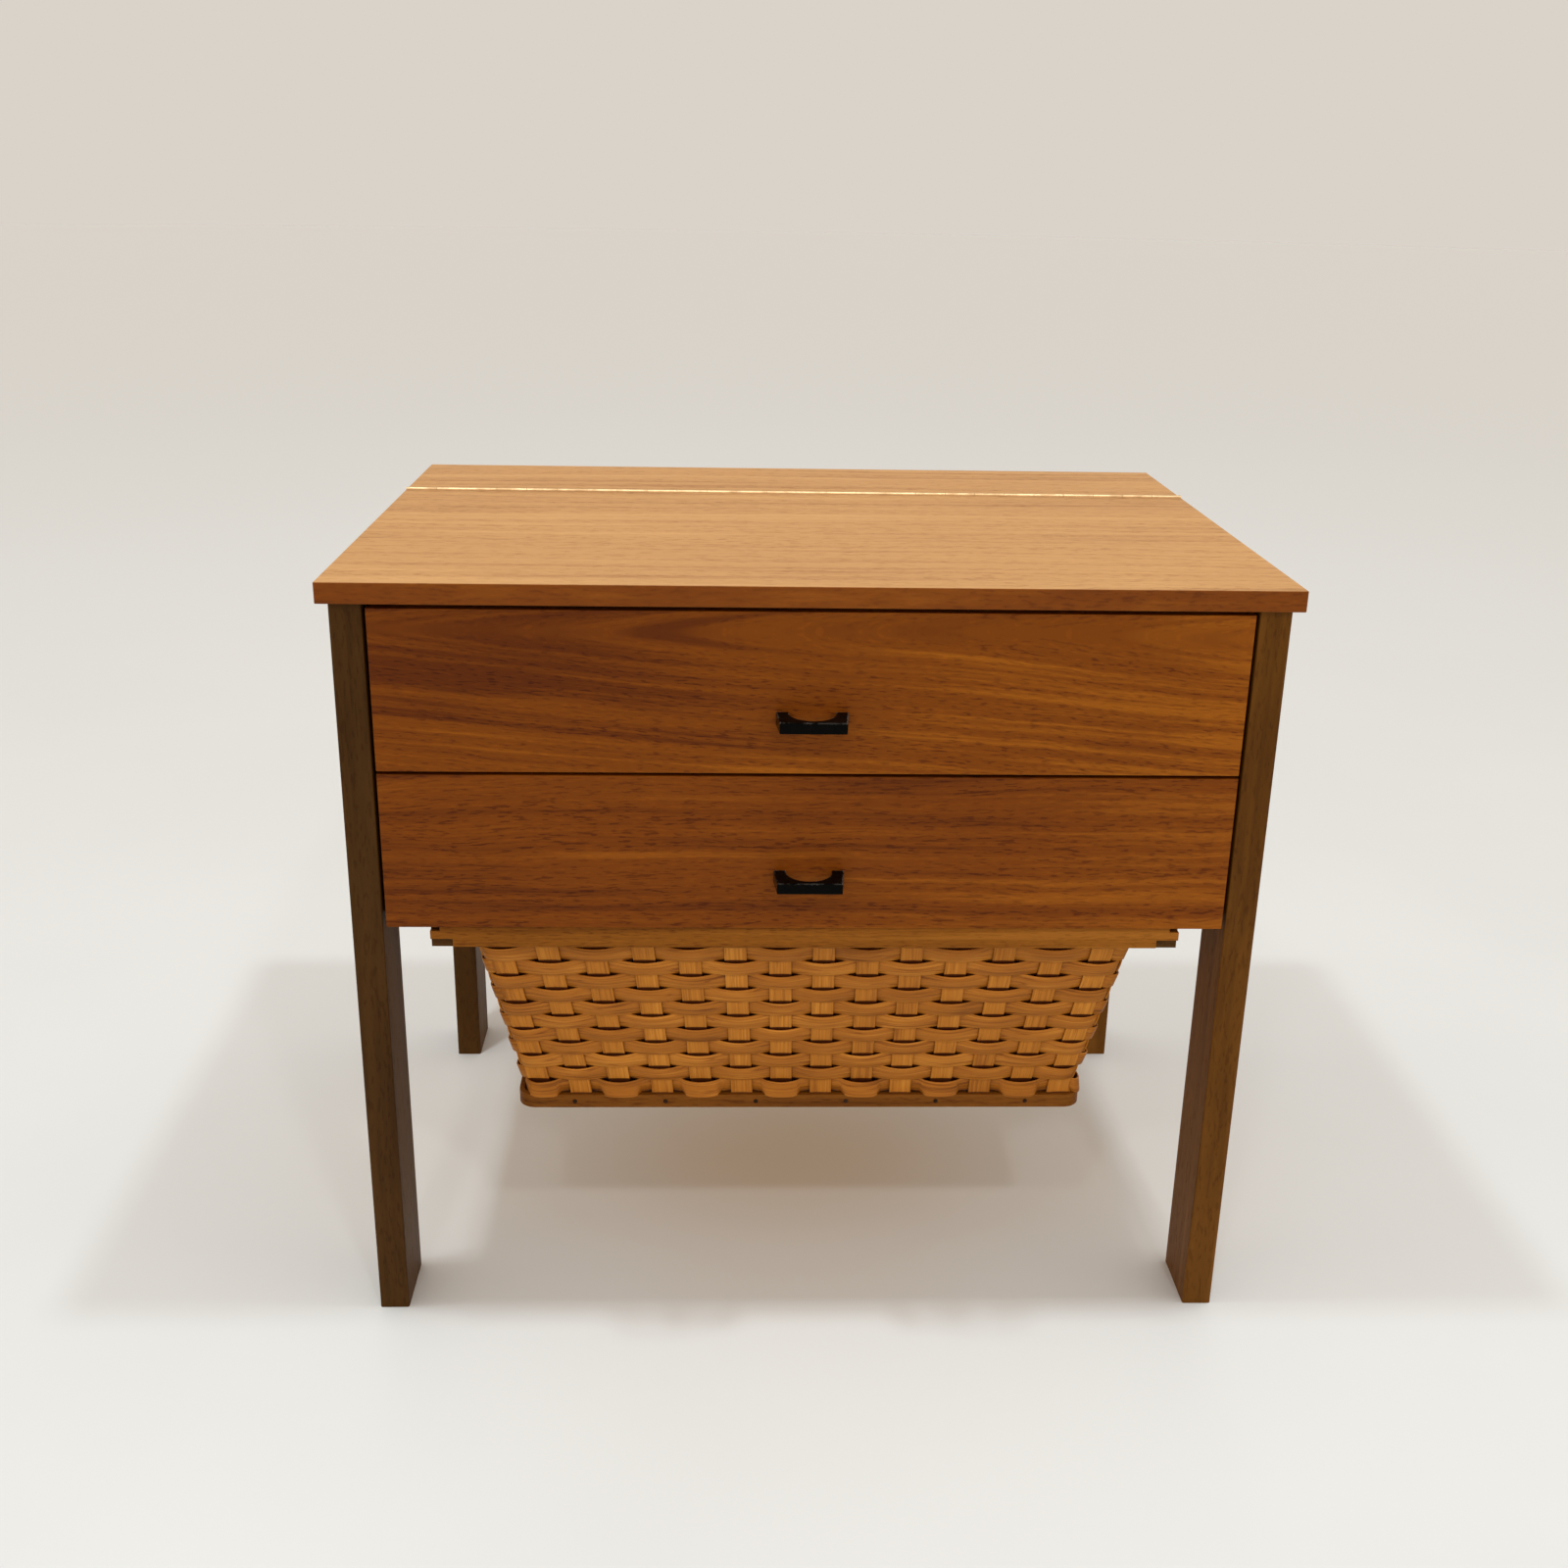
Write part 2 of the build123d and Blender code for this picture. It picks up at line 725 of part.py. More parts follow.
side_bar_y = (basket_front + frame_bar_depth, basket_back - frame_bar_depth)
for side_name, side in sides:
    with BuildPart() as side_bar:
        with BuildSketch(Plane.XZ.offset(-side_bar_y[0])):
            with BuildLine():
                Polyline(
                    (side * frame_inner_half_width, frame_bottom),
                    (side * frame_lower_half_width, frame_bottom),
                    (side * frame_lower_half_width, frame_step),
                    (side * frame_half_width, frame_step),
                    (side * frame_half_width, frame_top),
                    (side * frame_inner_half_width, frame_top),
                    close=True,
                )
            make_face()
        extrude(amount=side_bar_y[0] - side_bar_y[1])
    save(side_bar, f"basket_side_bar_{side_name}")


def cross_bar(y):
    """Stepped bar across the frame."""
    with BuildPart() as bar:
        with BuildSketch(Plane.XZ.offset(-y[0])):
            with Locations((0, (frame_step + frame_top) / 2)):
                Rectangle(2 * frame_half_width, frame_top - frame_step)
            with Locations((0, (frame_bottom + frame_step) / 2)):
                Rectangle(2 * frame_lower_half_width, frame_step_rise)
        extrude(amount=y[0] - y[1])
        if y[0] == basket_front:
            with BuildSketch(Plane.XZ.offset(-y[0])):
                with Locations((0, frame_step + ear_height / 2)):
                    Rectangle(2 * ear_half_width, ear_height)
            extrude(amount=-ear_thickness)
    return bar


save(cross_bar((basket_front, side_bar_y[0])), "basket_front_bar")
save(cross_bar((side_bar_y[1], basket_back)), "basket_rear_bar")

# Basket wall: a tapered form below the frame and a straight one inside it, hollowed to a thin shell

weave_half_width = frame_inner_half_width - weave_clearance
weave_half_depth = frame_depth / 2 - frame_bar_depth - weave_clearance
base_top = base_bottom + base_height
weave_taper = weave_slope * (frame_bottom - base_top)


def wall_form(inset):
    """Solid bounded by the wall's surface, moved in by an inset: skirt, tapered part and straight top."""
    width = 2 * (weave_half_width - inset)
    depth = 2 * (weave_half_depth - inset)
    narrow = 2 * weave_taper
    with BuildSketch() as lower_outline:
        with Locations((0, basket_middle)):
            RectangleRounded(width - narrow, depth - narrow, weave_bottom_corner - inset)
    with BuildSketch() as upper_outline:
        with Locations((0, basket_middle)):
            RectangleRounded(width, depth, weave_top_corner - inset)
    with BuildPart() as form:
        with BuildSketch(Plane.XY.offset(base_bottom)):
            add(lower_outline.sketch)
        extrude(amount=base_height)
        with BuildSketch(Plane.XY.offset(base_top)):
            add(lower_outline.sketch)
        with BuildSketch(Plane.XY.offset(frame_bottom)):
            add(upper_outline.sketch)
        loft()
        with BuildSketch(Plane.XY.offset(frame_bottom)):
            add(upper_outline.sketch)
        extrude(amount=weave_top - frame_bottom)
    return form.part


outer_form = wall_form(0.0)
inner_form = wall_form(weave_thickness)

band_half_width = weave_half_width - weave_taper + band_proud
band_half_depth = weave_half_depth - weave_taper + band_proud
nail_z = base_bottom + base_height / 2
nail_profile = [(0.9, -0.8), (1.6, -0.4), (1.6, 0), (0.6, 0), (0.6, 12.0)]
base_nails = []
for way in (-1, 1):
    for step in range(-3, 3):
        head = ((step + 0.5) * nail_spacing, basket_middle + way * band_half_depth, nail_z)
        base_nails.append(turned(head, (0, -way, 0), nail_profile))
    for step in range(-2, 3):
        head = (way * band_half_width, basket_middle + step * nail_spacing, nail_z)
        base_nails.append(turned(head, (-way, 0, 0), nail_profile))
save(group(base_nails), "basket_nails")

with BuildPart() as basket_weave:
    add(outer_form)
    add(inner_form, mode=Mode.SUBTRACT)
    for nail in base_nails:
        add(nail, mode=Mode.SUBTRACT)
save(basket_weave, "basket_weave")

with BuildPart() as basket_base_band:
    with BuildSketch(Plane.XY.offset(base_bottom)):
        with Locations((0, basket_middle)):
            RectangleRounded(2 * band_half_width, 2 * band_half_depth, band_corner)
    extrude(amount=base_height)
    add(outer_form, mode=Mode.SUBTRACT)
    for nail in base_nails:
        add(nail, mode=Mode.SUBTRACT)
save(basket_base_band, "basket_base_band")

with BuildPart() as basket_base_board:
    with Locations((0, basket_middle, base_bottom + base_height / 2)):
        Box(top_width, top_depth, base_height)
    add(inner_form, mode=Mode.INTERSECT)
    for nail in base_nails:
        add(nail, mode=Mode.SUBTRACT)
save(basket_base_board, "basket_base_board")

with BuildPart() as basket_rim:
    with BuildSketch(Plane.XY.offset(weave_top - rim_height)):
        with Locations((0, basket_middle)):
            rim_width = 2 * (weave_half_width - weave_thickness)
            rim_depth = 2 * (weave_half_depth - weave_thickness)
            rim_corner = weave_top_corner - weave_thickness
            RectangleRounded(rim_width, rim_depth, rim_corner)
            RectangleRounded(
                rim_width - 2 * rim_thickness,
                rim_depth - 2 * rim_thickness,
                rim_corner - rim_thickness,
                mode=Mode.SUBTRACT,
            )
    extrude(amount=rim_height)
save(basket_rim, "basket_rim")
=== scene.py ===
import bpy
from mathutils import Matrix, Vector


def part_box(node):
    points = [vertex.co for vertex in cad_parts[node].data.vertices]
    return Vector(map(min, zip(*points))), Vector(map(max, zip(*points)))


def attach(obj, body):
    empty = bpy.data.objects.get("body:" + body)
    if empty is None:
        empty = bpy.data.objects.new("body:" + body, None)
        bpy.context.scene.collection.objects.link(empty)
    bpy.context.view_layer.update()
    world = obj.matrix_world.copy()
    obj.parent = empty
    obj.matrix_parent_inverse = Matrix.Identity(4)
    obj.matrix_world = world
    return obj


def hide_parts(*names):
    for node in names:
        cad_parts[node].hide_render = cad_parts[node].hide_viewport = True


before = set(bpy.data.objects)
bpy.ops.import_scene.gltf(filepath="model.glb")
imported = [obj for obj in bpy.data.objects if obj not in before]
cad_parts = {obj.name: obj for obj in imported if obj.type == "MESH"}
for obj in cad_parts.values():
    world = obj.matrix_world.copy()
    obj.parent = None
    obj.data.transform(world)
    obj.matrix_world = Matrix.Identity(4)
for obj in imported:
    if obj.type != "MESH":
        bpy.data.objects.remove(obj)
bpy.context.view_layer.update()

import math
import random

import bpy
import numpy as np
from mathutils import Matrix, Vector

MM = 0.001
random.seed(41)

# Camera: the lens in millimetres and the turns in degrees
LENS = 39.034
CAMERA_PLACE = Vector((-57.224, -1307.526, 816.577)) * MM
CAMERA_YAW = 2.052
CAMERA_PITCH = 19.841
CAMERA_ROLL = -0.999

# Soft light: its colours, and how high each stands (0 at the horizon, 1 overhead)
HORIZON_LIGHT = (0.70, 0.65, 0.59)
BELT_LIGHT = (1.15, 0.75, 0.43)
CEILING_LIGHT = (0.60, 0.61, 0.60)
SKY = (
    (0.0, HORIZON_LIGHT),
    (0.08, HORIZON_LIGHT),
    (0.20, BELT_LIGHT),
    (0.42, BELT_LIGHT),
    (0.60, CEILING_LIGHT),
)
SIDE_LIGHT = 0.8
SIDE_FOCUS = 4.0

# Lamps: place, size and power, then colour
COOL_LAMP = (0.95, 1.0, 1.0)
WARM_LAMP = (1.0, 0.95, 0.9)
LAMPS = {
    "lamp_right": ((0.44, -0.21, 2.4), 0.14, 12.0, COOL_LAMP),
    "lamp_left": ((-0.57, -0.21, 2.4), 0.14, 12.0, COOL_LAMP),
    "lamp_front_right": ((0.50, -2.0, 2.4), 0.18, 7.0, WARM_LAMP),
    "lamp_front_left": ((-0.45, -2.0, 2.4), 0.18, 5.0, WARM_LAMP),
}
LAMP_TARGET = Vector((0.0, 0.0, 0.3))

# Floor
FLOOR_RADIUS = 24.0
FLOOR_TONES = ((0.701, 0.754, 0.790), (0.724, 0.778, 0.815))
FAR_FLOOR_TONE = (0.794, 0.898, 0.985)
FAR_FLOOR = (0.5, 3.0)

# Basket stakes: the upright strips, numbered from the left of the front. A stake sways out between
# the weavers, and more at its foot. Its spacing is that at SPACING_LEVEL and how fast it widens.
FRONT_STAKES = 14
SIDE_STAKES = 12
STAKES = 2 * (FRONT_STAKES + SIDE_STAKES)
STAKE_WIDTH = 16.0 * MM
STAKE_THICKNESS = 1.6 * MM
STAKE_SWAY = 0.45 * MM
SWAY_END = 14.0 * MM
SWAY_EASE = 6.0 * MM
STAKE_FOOT = 4.2 * MM
FOOT_TOP = 7.0 * MM
FOOT_EASE = 9.0 * MM
STAKE_BELOW = 1.5 * MM
STAKE_ABOVE = 0.5 * MM
STAKE_STEP = 1.5 * MM
STAKE_JITTER = 0.9 * MM
STAKE_NUMBERS = (0.61, 40.0)
SPACING_LEVEL = 170.0 * MM
FRONT_SPACING = (30.2 * MM, 0.0270)
SIDE_SPACING = (29.6 * MM, 0.0280)

# The stakes near LEAN_STAKE lean to the left by up to LEAN_REACH at the top
LEAN_REACH = 8.5 * MM
LEAN_STAKE = 10.0
LEAN_SPREAD = 3.2

# Corner posts: strips bent round the corners inside the weave
POST_WIDTH = 27.0 * MM
POST_THICKNESS = 1.0 * MM
POST_INSET = 3.0 * MM
POST_CLEAR = 0.5 * MM
POST_STEP = 3.0 * MM
POST_SPANS = 12
POST_NUMBERS = (0.61, 90.0)

# Basket weavers: the level strips, row 0 at the rim and row ROWS over the base band. A weaver swings
# in and out round the stakes. Its edges dip and tuck where it crosses them, so that no light shows.
ROWS = 11
ROW_PITCH = 12.1 * MM
FIRST_ROW = 288.0 * MM
STEPS_PER_STAKE = 10
FIRST_JOINT = STAKES / 2 + FRONT_STAKES / 2 - 4.5
JOINT_EASE = 0.4
WEAVER_HEIGHT = 12.1 * MM
WEAVER_THICKNESS = 1.2 * MM
WEAVER_SWING = 2.0 * MM
WEAVER_DIP = 1.2 * MM
WEAVER_TUCK = 1.6 * MM
WEAVER_RISE = 2.6 * MM
WEAVER_TILT = 0.5 * MM
WEAVER_NUMBERS = 0.77
SWING_RANGE = (0.94, 1.04)
UNEVEN_RANGE = (-0.02, 0.02)
UNEVEN_PACE = 1.3
WOBBLES = ((0.12 * MM, 0.83, 2.1), (0.10 * MM, 2.27, 1.0))
TOP_WEAVER_HEIGHT = 8.2 * MM
TOP_WEAVER_SWING = 2.1 * MM
TOP_WEAVER_GAP = 0.2 * MM
RIM_LAP = 1.6 * MM
BAND_LAP = 1.7 * MM
BAND_STEP = 1.2 * MM
BAND_REACH = 7.2 * MM
BAND_RAMP = 0.45
SLIT_HEIGHT = 1.0 * MM

# Basket wall: the middle surface that the strips follow
WEAVE_DEPTH = 2.65 * MM
WALL_SLOPE = 0.2057
WALL_EASE = 4.0 * MM
TOP_CORNER = 10.0 * MM
BOTTOM_CORNER = 9.5 * MM

# Strips: the ease of their edges, and the angle from which an edge is sharp
STRIP_EASE = 0.35 * MM
SHARP_ANGLE = 50.0


# Nodes -------------------------------------------------------------------------------------------


class Shader:
    """One material. Each call adds a node and gives its output socket."""

    def __init__(self, name, roughness, specular=0.5, metallic=0.0):
        self.material = bpy.data.materials.new(name)
        self.material.use_nodes = True
        self.tree = self.material.node_tree
        self.tree.nodes.clear()
        self.surface = self.tree.nodes.new("ShaderNodeBsdfPrincipled")
        output = self.tree.nodes.new("ShaderNodeOutputMaterial")
        self.tree.links.new(self.surface.outputs["BSDF"], output.inputs["Surface"])
        self.put(self.surface.inputs["Roughness"], roughness)
        self.put(self.surface.inputs["Specular IOR Level"], specular)
        self.put(self.surface.inputs["Metallic"], metallic)
        self.place = self.tree.nodes.new("ShaderNodeTexCoord")

    def put(self, socket, value):
        """Link an output to the socket, or set the socket to a plain value."""
        if isinstance(value, bpy.types.NodeSocket):
            self.tree.links.new(value, socket)
        elif isinstance(value, tuple) and socket.type == "RGBA":
            socket.default_value = (*value, 1.0)
        else:
            socket.default_value = value

    def node(self, kind, inputs=(), **settings):
        made = self.tree.nodes.new(kind)
        for key, value in settings.items():
            setattr(made, key, value)
        for socket, value in dict(inputs).items():
            self.put(made.inputs[socket], value)
        return made

    def math(self, operation, *values):
        return self.node("ShaderNodeMath", enumerate(values), operation=operation).outputs[0]

    def point(self, x, y, z):
        return self.node("ShaderNodeCombineXYZ", {"X": x, "Y": y, "Z": z}).outputs[0]

    def scaled(self, factor, *values):
        """Each value times its factor, as one point."""
        parts = [self.math("MULTIPLY", v, f) for v, f in zip(values, factor)]
        return self.point(*parts)

    def split(self, vector):
        return self.node("ShaderNodeSeparateXYZ", {"Vector": vector}).outputs

    def noise(self, vector, scale=1.0, detail=2.0, roughness=0.5):
        inputs = {"Vector": vector, "Scale": scale, "Detail": detail, "Roughness": roughness}
        return self.node("ShaderNodeTexNoise", inputs).outputs["Fac"]

    def span(self, value, low, high, to_low=0.0, to_high=1.0):
        """value from low..high to to_low..to_high, with soft ends."""
        inputs = {"Value": value, "From Min": low, "From Max": high}
        inputs.update({"To Min": to_low, "To Max": to_high})
        made = self.node("ShaderNodeMapRange", inputs, interpolation_type="SMOOTHSTEP")
        return made.outputs["Result"]

    def mix(self, factor, a, b, blend="MIX"):
        made = self.node("ShaderNodeMix", data_type="RGBA", blend_type=blend)
        self.put(made.inputs["Factor"], factor)
        self.put(made.inputs[6], a)
        self.put(made.inputs[7], b)
        return made.outputs[2]

    def tinted(self, colour, share, tint):
        """colour, multiplied by tint where share is 1."""
        return self.mix(share, colour, self.mix(1.0, colour, tint, "MULTIPLY"))

    def bump(self, height, distance, strength, base=None):
        """The surface's direction with the height's relief, on top of the direction base."""
        inputs = {"Height": height, "Distance": distance, "Strength": strength}
        if base is not None:
            inputs["Normal"] = base
        return self.node("ShaderNodeBump", inputs).outputs["Normal"]

    def rounded(self, radius):
        """The surface's direction with its edges eased to a radius."""
        return self.node("ShaderNodeBevel", {"Radius": radius}, samples=4).outputs["Normal"]

    def arris(self, rounded):
        """1 on an eased edge and 0 away from it."""
        plain = self.node("ShaderNodeNewGeometry").outputs["Normal"]
        both = {0: rounded, 1: plain}
        facing = self.node("ShaderNodeVectorMath", both, operation="DOT_PRODUCT")
        return self.span(facing.outputs["Value"], 0.995, 0.86)

    def crevice(self, reach):
        """1 deep in a crevice and 0 in the open."""
        sky = self.node("ShaderNodeAmbientOcclusion", {"Distance": reach}, samples=6)
        return self.span(sky.outputs["AO"], 0.68, 0.28)

    def finish(self, colour, normal, roughness=None):
        """The material, complete. Without roughness it keeps the even one that it began with."""
        self.put(self.surface.inputs["Base Color"], colour)
        self.put(self.surface.inputs["Normal"], normal)
        if roughness is not None:
            self.put(self.surface.inputs["Roughness"], roughness)
        return self.material


# The axes along, across and through a board, by its grain: X and Y stand on edge, XY lies flat
GRAIN_AXES = {"X": (0, 2, 1), "XY": (0, 1, 2), "Y": (1, 2, 0), "Z": (2, 1, 0)}

# How fine each kind of wood figure is, along, across and through the board
BOARD_BEND = (2.6, 9.0, 9.0)
BOARD_RIPPLE = (14.0, 30.0, 30.0)
BOARD_BANDS = (1.2, 95.0, 22.0)
BOARD_STREAKS = (7.0, 420.0, 160.0)
BOARD_FIBRES = (110.0, 760.0, 500.0)
BOARD_CLOUD = (3.5, 12.0, 6.0)

# The same for split strips: along, across and from strip to strip
STRIP_STREAKS = (14.0, 620.0, 7.3)
STRIP_VEINS = (9.0, 290.0, 4.7)
STRIP_FIBRES = (60.0, 2000.0, 9.1)
STRIP_CLOUD = (14.0, 40.0, 3.1)
STRIP_SHADE = (0.0, 0.0, 5.7)

# What a colour is multiplied by in each kind of mark
PORE_TINT = (0.40, 0.28, 0.20)
# Painted glints on the wood grain
GLINT_TINT = (1.6, 1.6, 1.6)
# Painted highlight on eased wood edges
ARRIS_HIGHLIGHT_TINT = (1.8, 2.0, 2.4)
VEIN_TINT = (0.50, 0.38, 0.28)
NICK_TINT = (0.45, 0.33, 0.25)
# Painted shade in the weave's crevices
CREVICE_SHADE_TINT = (0.30, 0.20, 0.14)
# Painted highlight on the weavers' upper lips
LIP_HIGHLIGHT_TINT = (1.5, 1.65, 2.3)
# Painted shade in the slits of the weave
SLIT_SHADE_COLOUR = (0.040, 0.0065, 0.0022)


def grain_place(shader, grain, shift):
    """Metres along the grain, across it and through it.
    shift moves the piece to its own part of the log."""
    axes = shader.split(shader.place.outputs["Object"])
    along, across, through = (axes[i] for i in GRAIN_AXES[grain])
    along = shader.math("ADD", along, shift)
    return along, across, shader.math("ADD", through, shift * 0.37)


def wavy(shader, along, across, through, amount):
    """across, bent by slow waves along the board."""
    bend = shader.noise(shader.scaled(BOARD_BEND, along, across, through), detail=1.0)
    ripple = shader.noise(shader.scaled(BOARD_RIPPLE, along, across, through), detail=1.0)
    bend = shader.math("MULTIPLY", shader.math("SUBTRACT", bend, 0.5), amount)
    ripple = shader.math("MULTIPLY", shader.math("SUBTRACT", ripple, 0.5), amount * 0.22)
    return shader.math("ADD", across, shader.math("ADD", bend, ripple))


def arched(shader, across, along, centre, depth, lean):
    """The field whose level lines are the nested arches of a board cut near the heart, and how
    steeply it changes across the board: 0 on the line of the arches' tips and 1 well away from it."""
    off = shader.math("SUBTRACT", across, centre)
    square = shader.math("ADD", shader.math("MULTIPLY", off, off), depth * depth)
    reach = shader.math("SQRT", square)
    figure = shader.math("SUBTRACT", reach, shader.math("MULTIPLY", along, lean))
    return figure, shader.math("DIVIDE", shader.math("ABSOLUTE", off), reach)


def painted_light_slope(shader, tone, along, across, drift):
    """tone, plus a painted light slope: raised by drift's two rates a metre, along the board and up
    across it from a level, so the board looks more lit at one end and one edge.
    """
    end_to_end, edge_to_edge, level = drift
    tone = shader.math("ADD", tone, shader.math("MULTIPLY", along, end_to_end))
    rise = shader.math("MULTIPLY", shader.math("SUBTRACT", across, level), edge_to_edge)
    return shader.math("ADD", tone, rise)


def board_tone(shader, bands, streaks, cloud, steepness):
    """0 in the darkest wood and 1 in the lightest, from broad bands, fine streaks and cloud."""
    fine = shader.math("MULTIPLY", shader.math("SUBTRACT", streaks, 0.5), steepness)
    fine = shader.math("MULTIPLY", fine, 0.22)
    tone = shader.math("ADD", shader.math("MULTIPLY", bands, 0.50), shader.math("ADD", fine, 0.11))
    return shader.math("ADD", tone, shader.math("MULTIPLY", cloud, 0.28))


def board_pores(shader, fibres, bands, steepness):
    """1 in a dark pore. They are denser in dark bands and fade on the line of the arches' tips."""
    in_bands = shader.span(bands, 0.62, 0.38, 0.45, 1.0)
    pores = shader.math("MULTIPLY", shader.span(fibres, 0.55, 0.68), in_bands)
    return shader.math("MULTIPLY", pores, steepness)


def wood(name, grain, tones, shift, wave, pores, finish=(0.45, 0.11), arch=None,
         lit_top_tones=None, drift=None):
    """A lacquered open-grained wood. tones are its dark, middle and light, and lit_top_tones the
    lighter ones of faces that look up, painted light. arch is (centre, depth, lean), and finish is
    (roughness, specular level)."""
    roughness, specular = finish
    s = Shader(name, roughness, specular)
    along, across, through = grain_place(s, grain, shift)
    field = wavy(s, along, across, through, wave)
    figure, steepness = arched(s, field, along, *arch) if arch else (field, 1.0)
    bands = s.noise(s.scaled(BOARD_BANDS, along, figure, through))
    streaks = s.noise(s.scaled(BOARD_STREAKS, along, figure, through))
    fibres = s.noise(s.scaled(BOARD_FIBRES, along, figure, through), detail=1.0)
    cloud = s.noise(s.scaled(BOARD_CLOUD, along, across, through))
    tone = board_tone(s, bands, streaks, cloud, steepness)
    # drift paints light: a slope of tone, lighter where more light falls on the board.
    if drift:
        tone = painted_light_slope(s, tone, s.math("SUBTRACT", along, shift), across, drift)
    colour = wood_colour(s, tone, tones)
    # Faces that look up take lighter tones: painted light, for the light and sheen that fall on the
    # top.
    if lit_top_tones:
        up = s.span(s.split(s.place.outputs["Normal"])["Z"], 0.5, 0.9)
        colour = s.mix(up, colour, wood_colour(s, tone, lit_top_tones))
    dark_pores = board_pores(s, fibres, bands, steepness)
    # Pale short flecks along the grain: painted glints of light.
    glints = s.math("MULTIPLY", s.span(fibres, 0.42, 0.30), pores * 0.35)
    colour = s.tinted(colour, s.math("MULTIPLY", dark_pores, pores), PORE_TINT)
    colour = s.tinted(colour, glints, GLINT_TINT)
    eased = s.rounded(1.2 * MM)
    # Eased edges are lightened: a painted highlight where the edges catch the light.
    colour = s.tinted(colour, s.math("MULTIPLY", s.arris(eased), 0.50), ARRIS_HIGHLIGHT_TINT)
    height = s.math("SUBTRACT", s.math("MULTIPLY", streaks, 0.4), dark_pores)
    worn = s.math("MULTIPLY", s.math("ADD", dark_pores, cloud), 0.10)
    return s.finish(colour, s.bump(height, 0.06 * MM, 0.5, eased), s.math("ADD", roughness, worn))


def wood_colour(shader, tone, tones):
    """The dark, middle and light colours, blended by tone."""
    dark, middle, light = tones
    low = shader.mix(shader.span(tone, 0.36, 0.50), dark, middle)
    return shader.mix(shader.span(tone, 0.50, 0.64), low, light)


def splint(name, tones, marks):
    """Split wood strip. The attribute strip holds the place along it and across it and its number.
    marks is how much its veins and nicks show."""
    s = Shader(name, 0.42, 0.15)
    place = s.split(s.node("ShaderNodeAttribute", attribute_name="strip").outputs["Vector"])
    along, across, number = place[0], place[1], place[2]
    streaks = s.noise(s.scaled(STRIP_STREAKS, along, across, number), detail=3.0, roughness=0.6)
    veins = s.noise(s.scaled(STRIP_VEINS, along, across, number), detail=1.0)
    fibres = s.noise(s.scaled(STRIP_FIBRES, along, across, number), detail=1.0)
    cloud = s.noise(s.scaled(STRIP_CLOUD, along, across, number))
    shade = s.noise(s.scaled(STRIP_SHADE, along, across, number), detail=0.0)
    tone = s.math("ADD", s.math("MULTIPLY", streaks, 0.42), s.math("MULTIPLY", cloud, 0.38))
    tone = s.math("ADD", tone, s.math("MULTIPLY", shade, 0.20))
    vein_lines = s.span(s.math("ABSOLUTE", s.math("SUBTRACT", veins, 0.5)), 0.030, 0.0)
    nicks = s.span(fibres, 0.62, 0.76)
    slit, lip_highlight = weave_slits(s, across)
    colour = wood_colour(s, tone, tones)
    colour = s.tinted(colour, s.math("MULTIPLY", vein_lines, marks), VEIN_TINT)
    colour = s.tinted(colour, s.math("MULTIPLY", nicks, marks * 0.6), NICK_TINT)
    # Darker deep in the weave's crevices: painted shade where the strips hide each other from the
    # light.
    colour = s.tinted(colour, s.math("MULTIPLY", s.crevice(4.0 * MM), 0.45), CREVICE_SHADE_TINT)
    # The slit above each crossing weaver is painted near-black: painted shade in the gap.
    colour = s.mix(s.math("MULTIPLY", slit, 0.94), colour, SLIT_SHADE_COLOUR)
    # The upper lip of a crossing weaver is lightened: a painted highlight where its top edge catches
    # the light.
    colour = s.tinted(colour, s.math("MULTIPLY", lip_highlight, 0.55), LIP_HIGHLIGHT_TINT)
    sunk = s.math("MULTIPLY", s.math("MAXIMUM", nicks, vein_lines), 0.6)
    relief = s.bump(s.math("SUBTRACT", streaks, sunk), 0.14 * MM, 0.8)
    return s.finish(colour, relief, s.math("ADD", 0.36, s.math("MULTIPLY", cloud, 0.18)))


def weave_slits(s, across):
    """The painted shade in the slit above each weaver that crosses in front, and the painted highlight
    on the upper lip of that weaver.
    The attribute lap holds the turn in stakes, the level in rows and 1 on a stake."""
    place = s.split(s.node("ShaderNodeAttribute", attribute_name="lap").outputs["Vector"])
    turn, level, on_stake = place[0], s.math("ADD", place[1], 0.5), place[2]
    row = s.math("ROUND", level)
    above = s.math("MULTIPLY", s.math("SUBTRACT", row, level), ROW_PITCH)
    beat = s.math("COSINE", s.math("MULTIPLY", turn, math.pi))
    side = s.math("COSINE", s.math("MULTIPLY", s.math("ADD", row, 1.0), math.pi))
    front = s.math("MAXIMUM", s.math("MULTIPLY", beat, side), 0.0)
    ceiling = s.math("MULTIPLY", s.math("POWER", front, 0.75), SLIT_HEIGHT)
    under = s.span(s.math("SUBTRACT", ceiling, above), -0.15 * MM, 0.45 * MM)
    lower_half = s.span(across, 0.5 * MM, -0.5 * MM)
    slit = s.math("MULTIPLY", under, s.math("MAXIMUM", lower_half, on_stake))
    slit = s.math("MULTIPLY", slit, s.span(front, 0.02, 0.20))
    edge = WEAVER_HEIGHT / 2
    top_edge = s.span(across, edge - 1.5 * MM, edge - 0.5 * MM)
    on_weaver = s.math("SUBTRACT", 1.0, on_stake)
    return slit, s.math("MULTIPLY", s.math("MULTIPLY", top_edge, front), on_weaver)


def metal(name, bright, dull, roughness):
    """Metal with a thin uneven tarnish and fine scratches."""
    s = Shader(name, roughness, 0.5, metallic=1.0)
    place = s.place.outputs["Object"]
    film = s.span(s.noise(place, 70.0, 4.0, 0.6), 0.40, 0.66)
    relief = s.bump(s.noise(place, 900.0), 0.02 * MM, 0.3)
    gloss = s.math("ADD", roughness, s.math("MULTIPLY", film, 0.16))
    return s.finish(s.mix(film, bright, dull), relief, gloss)


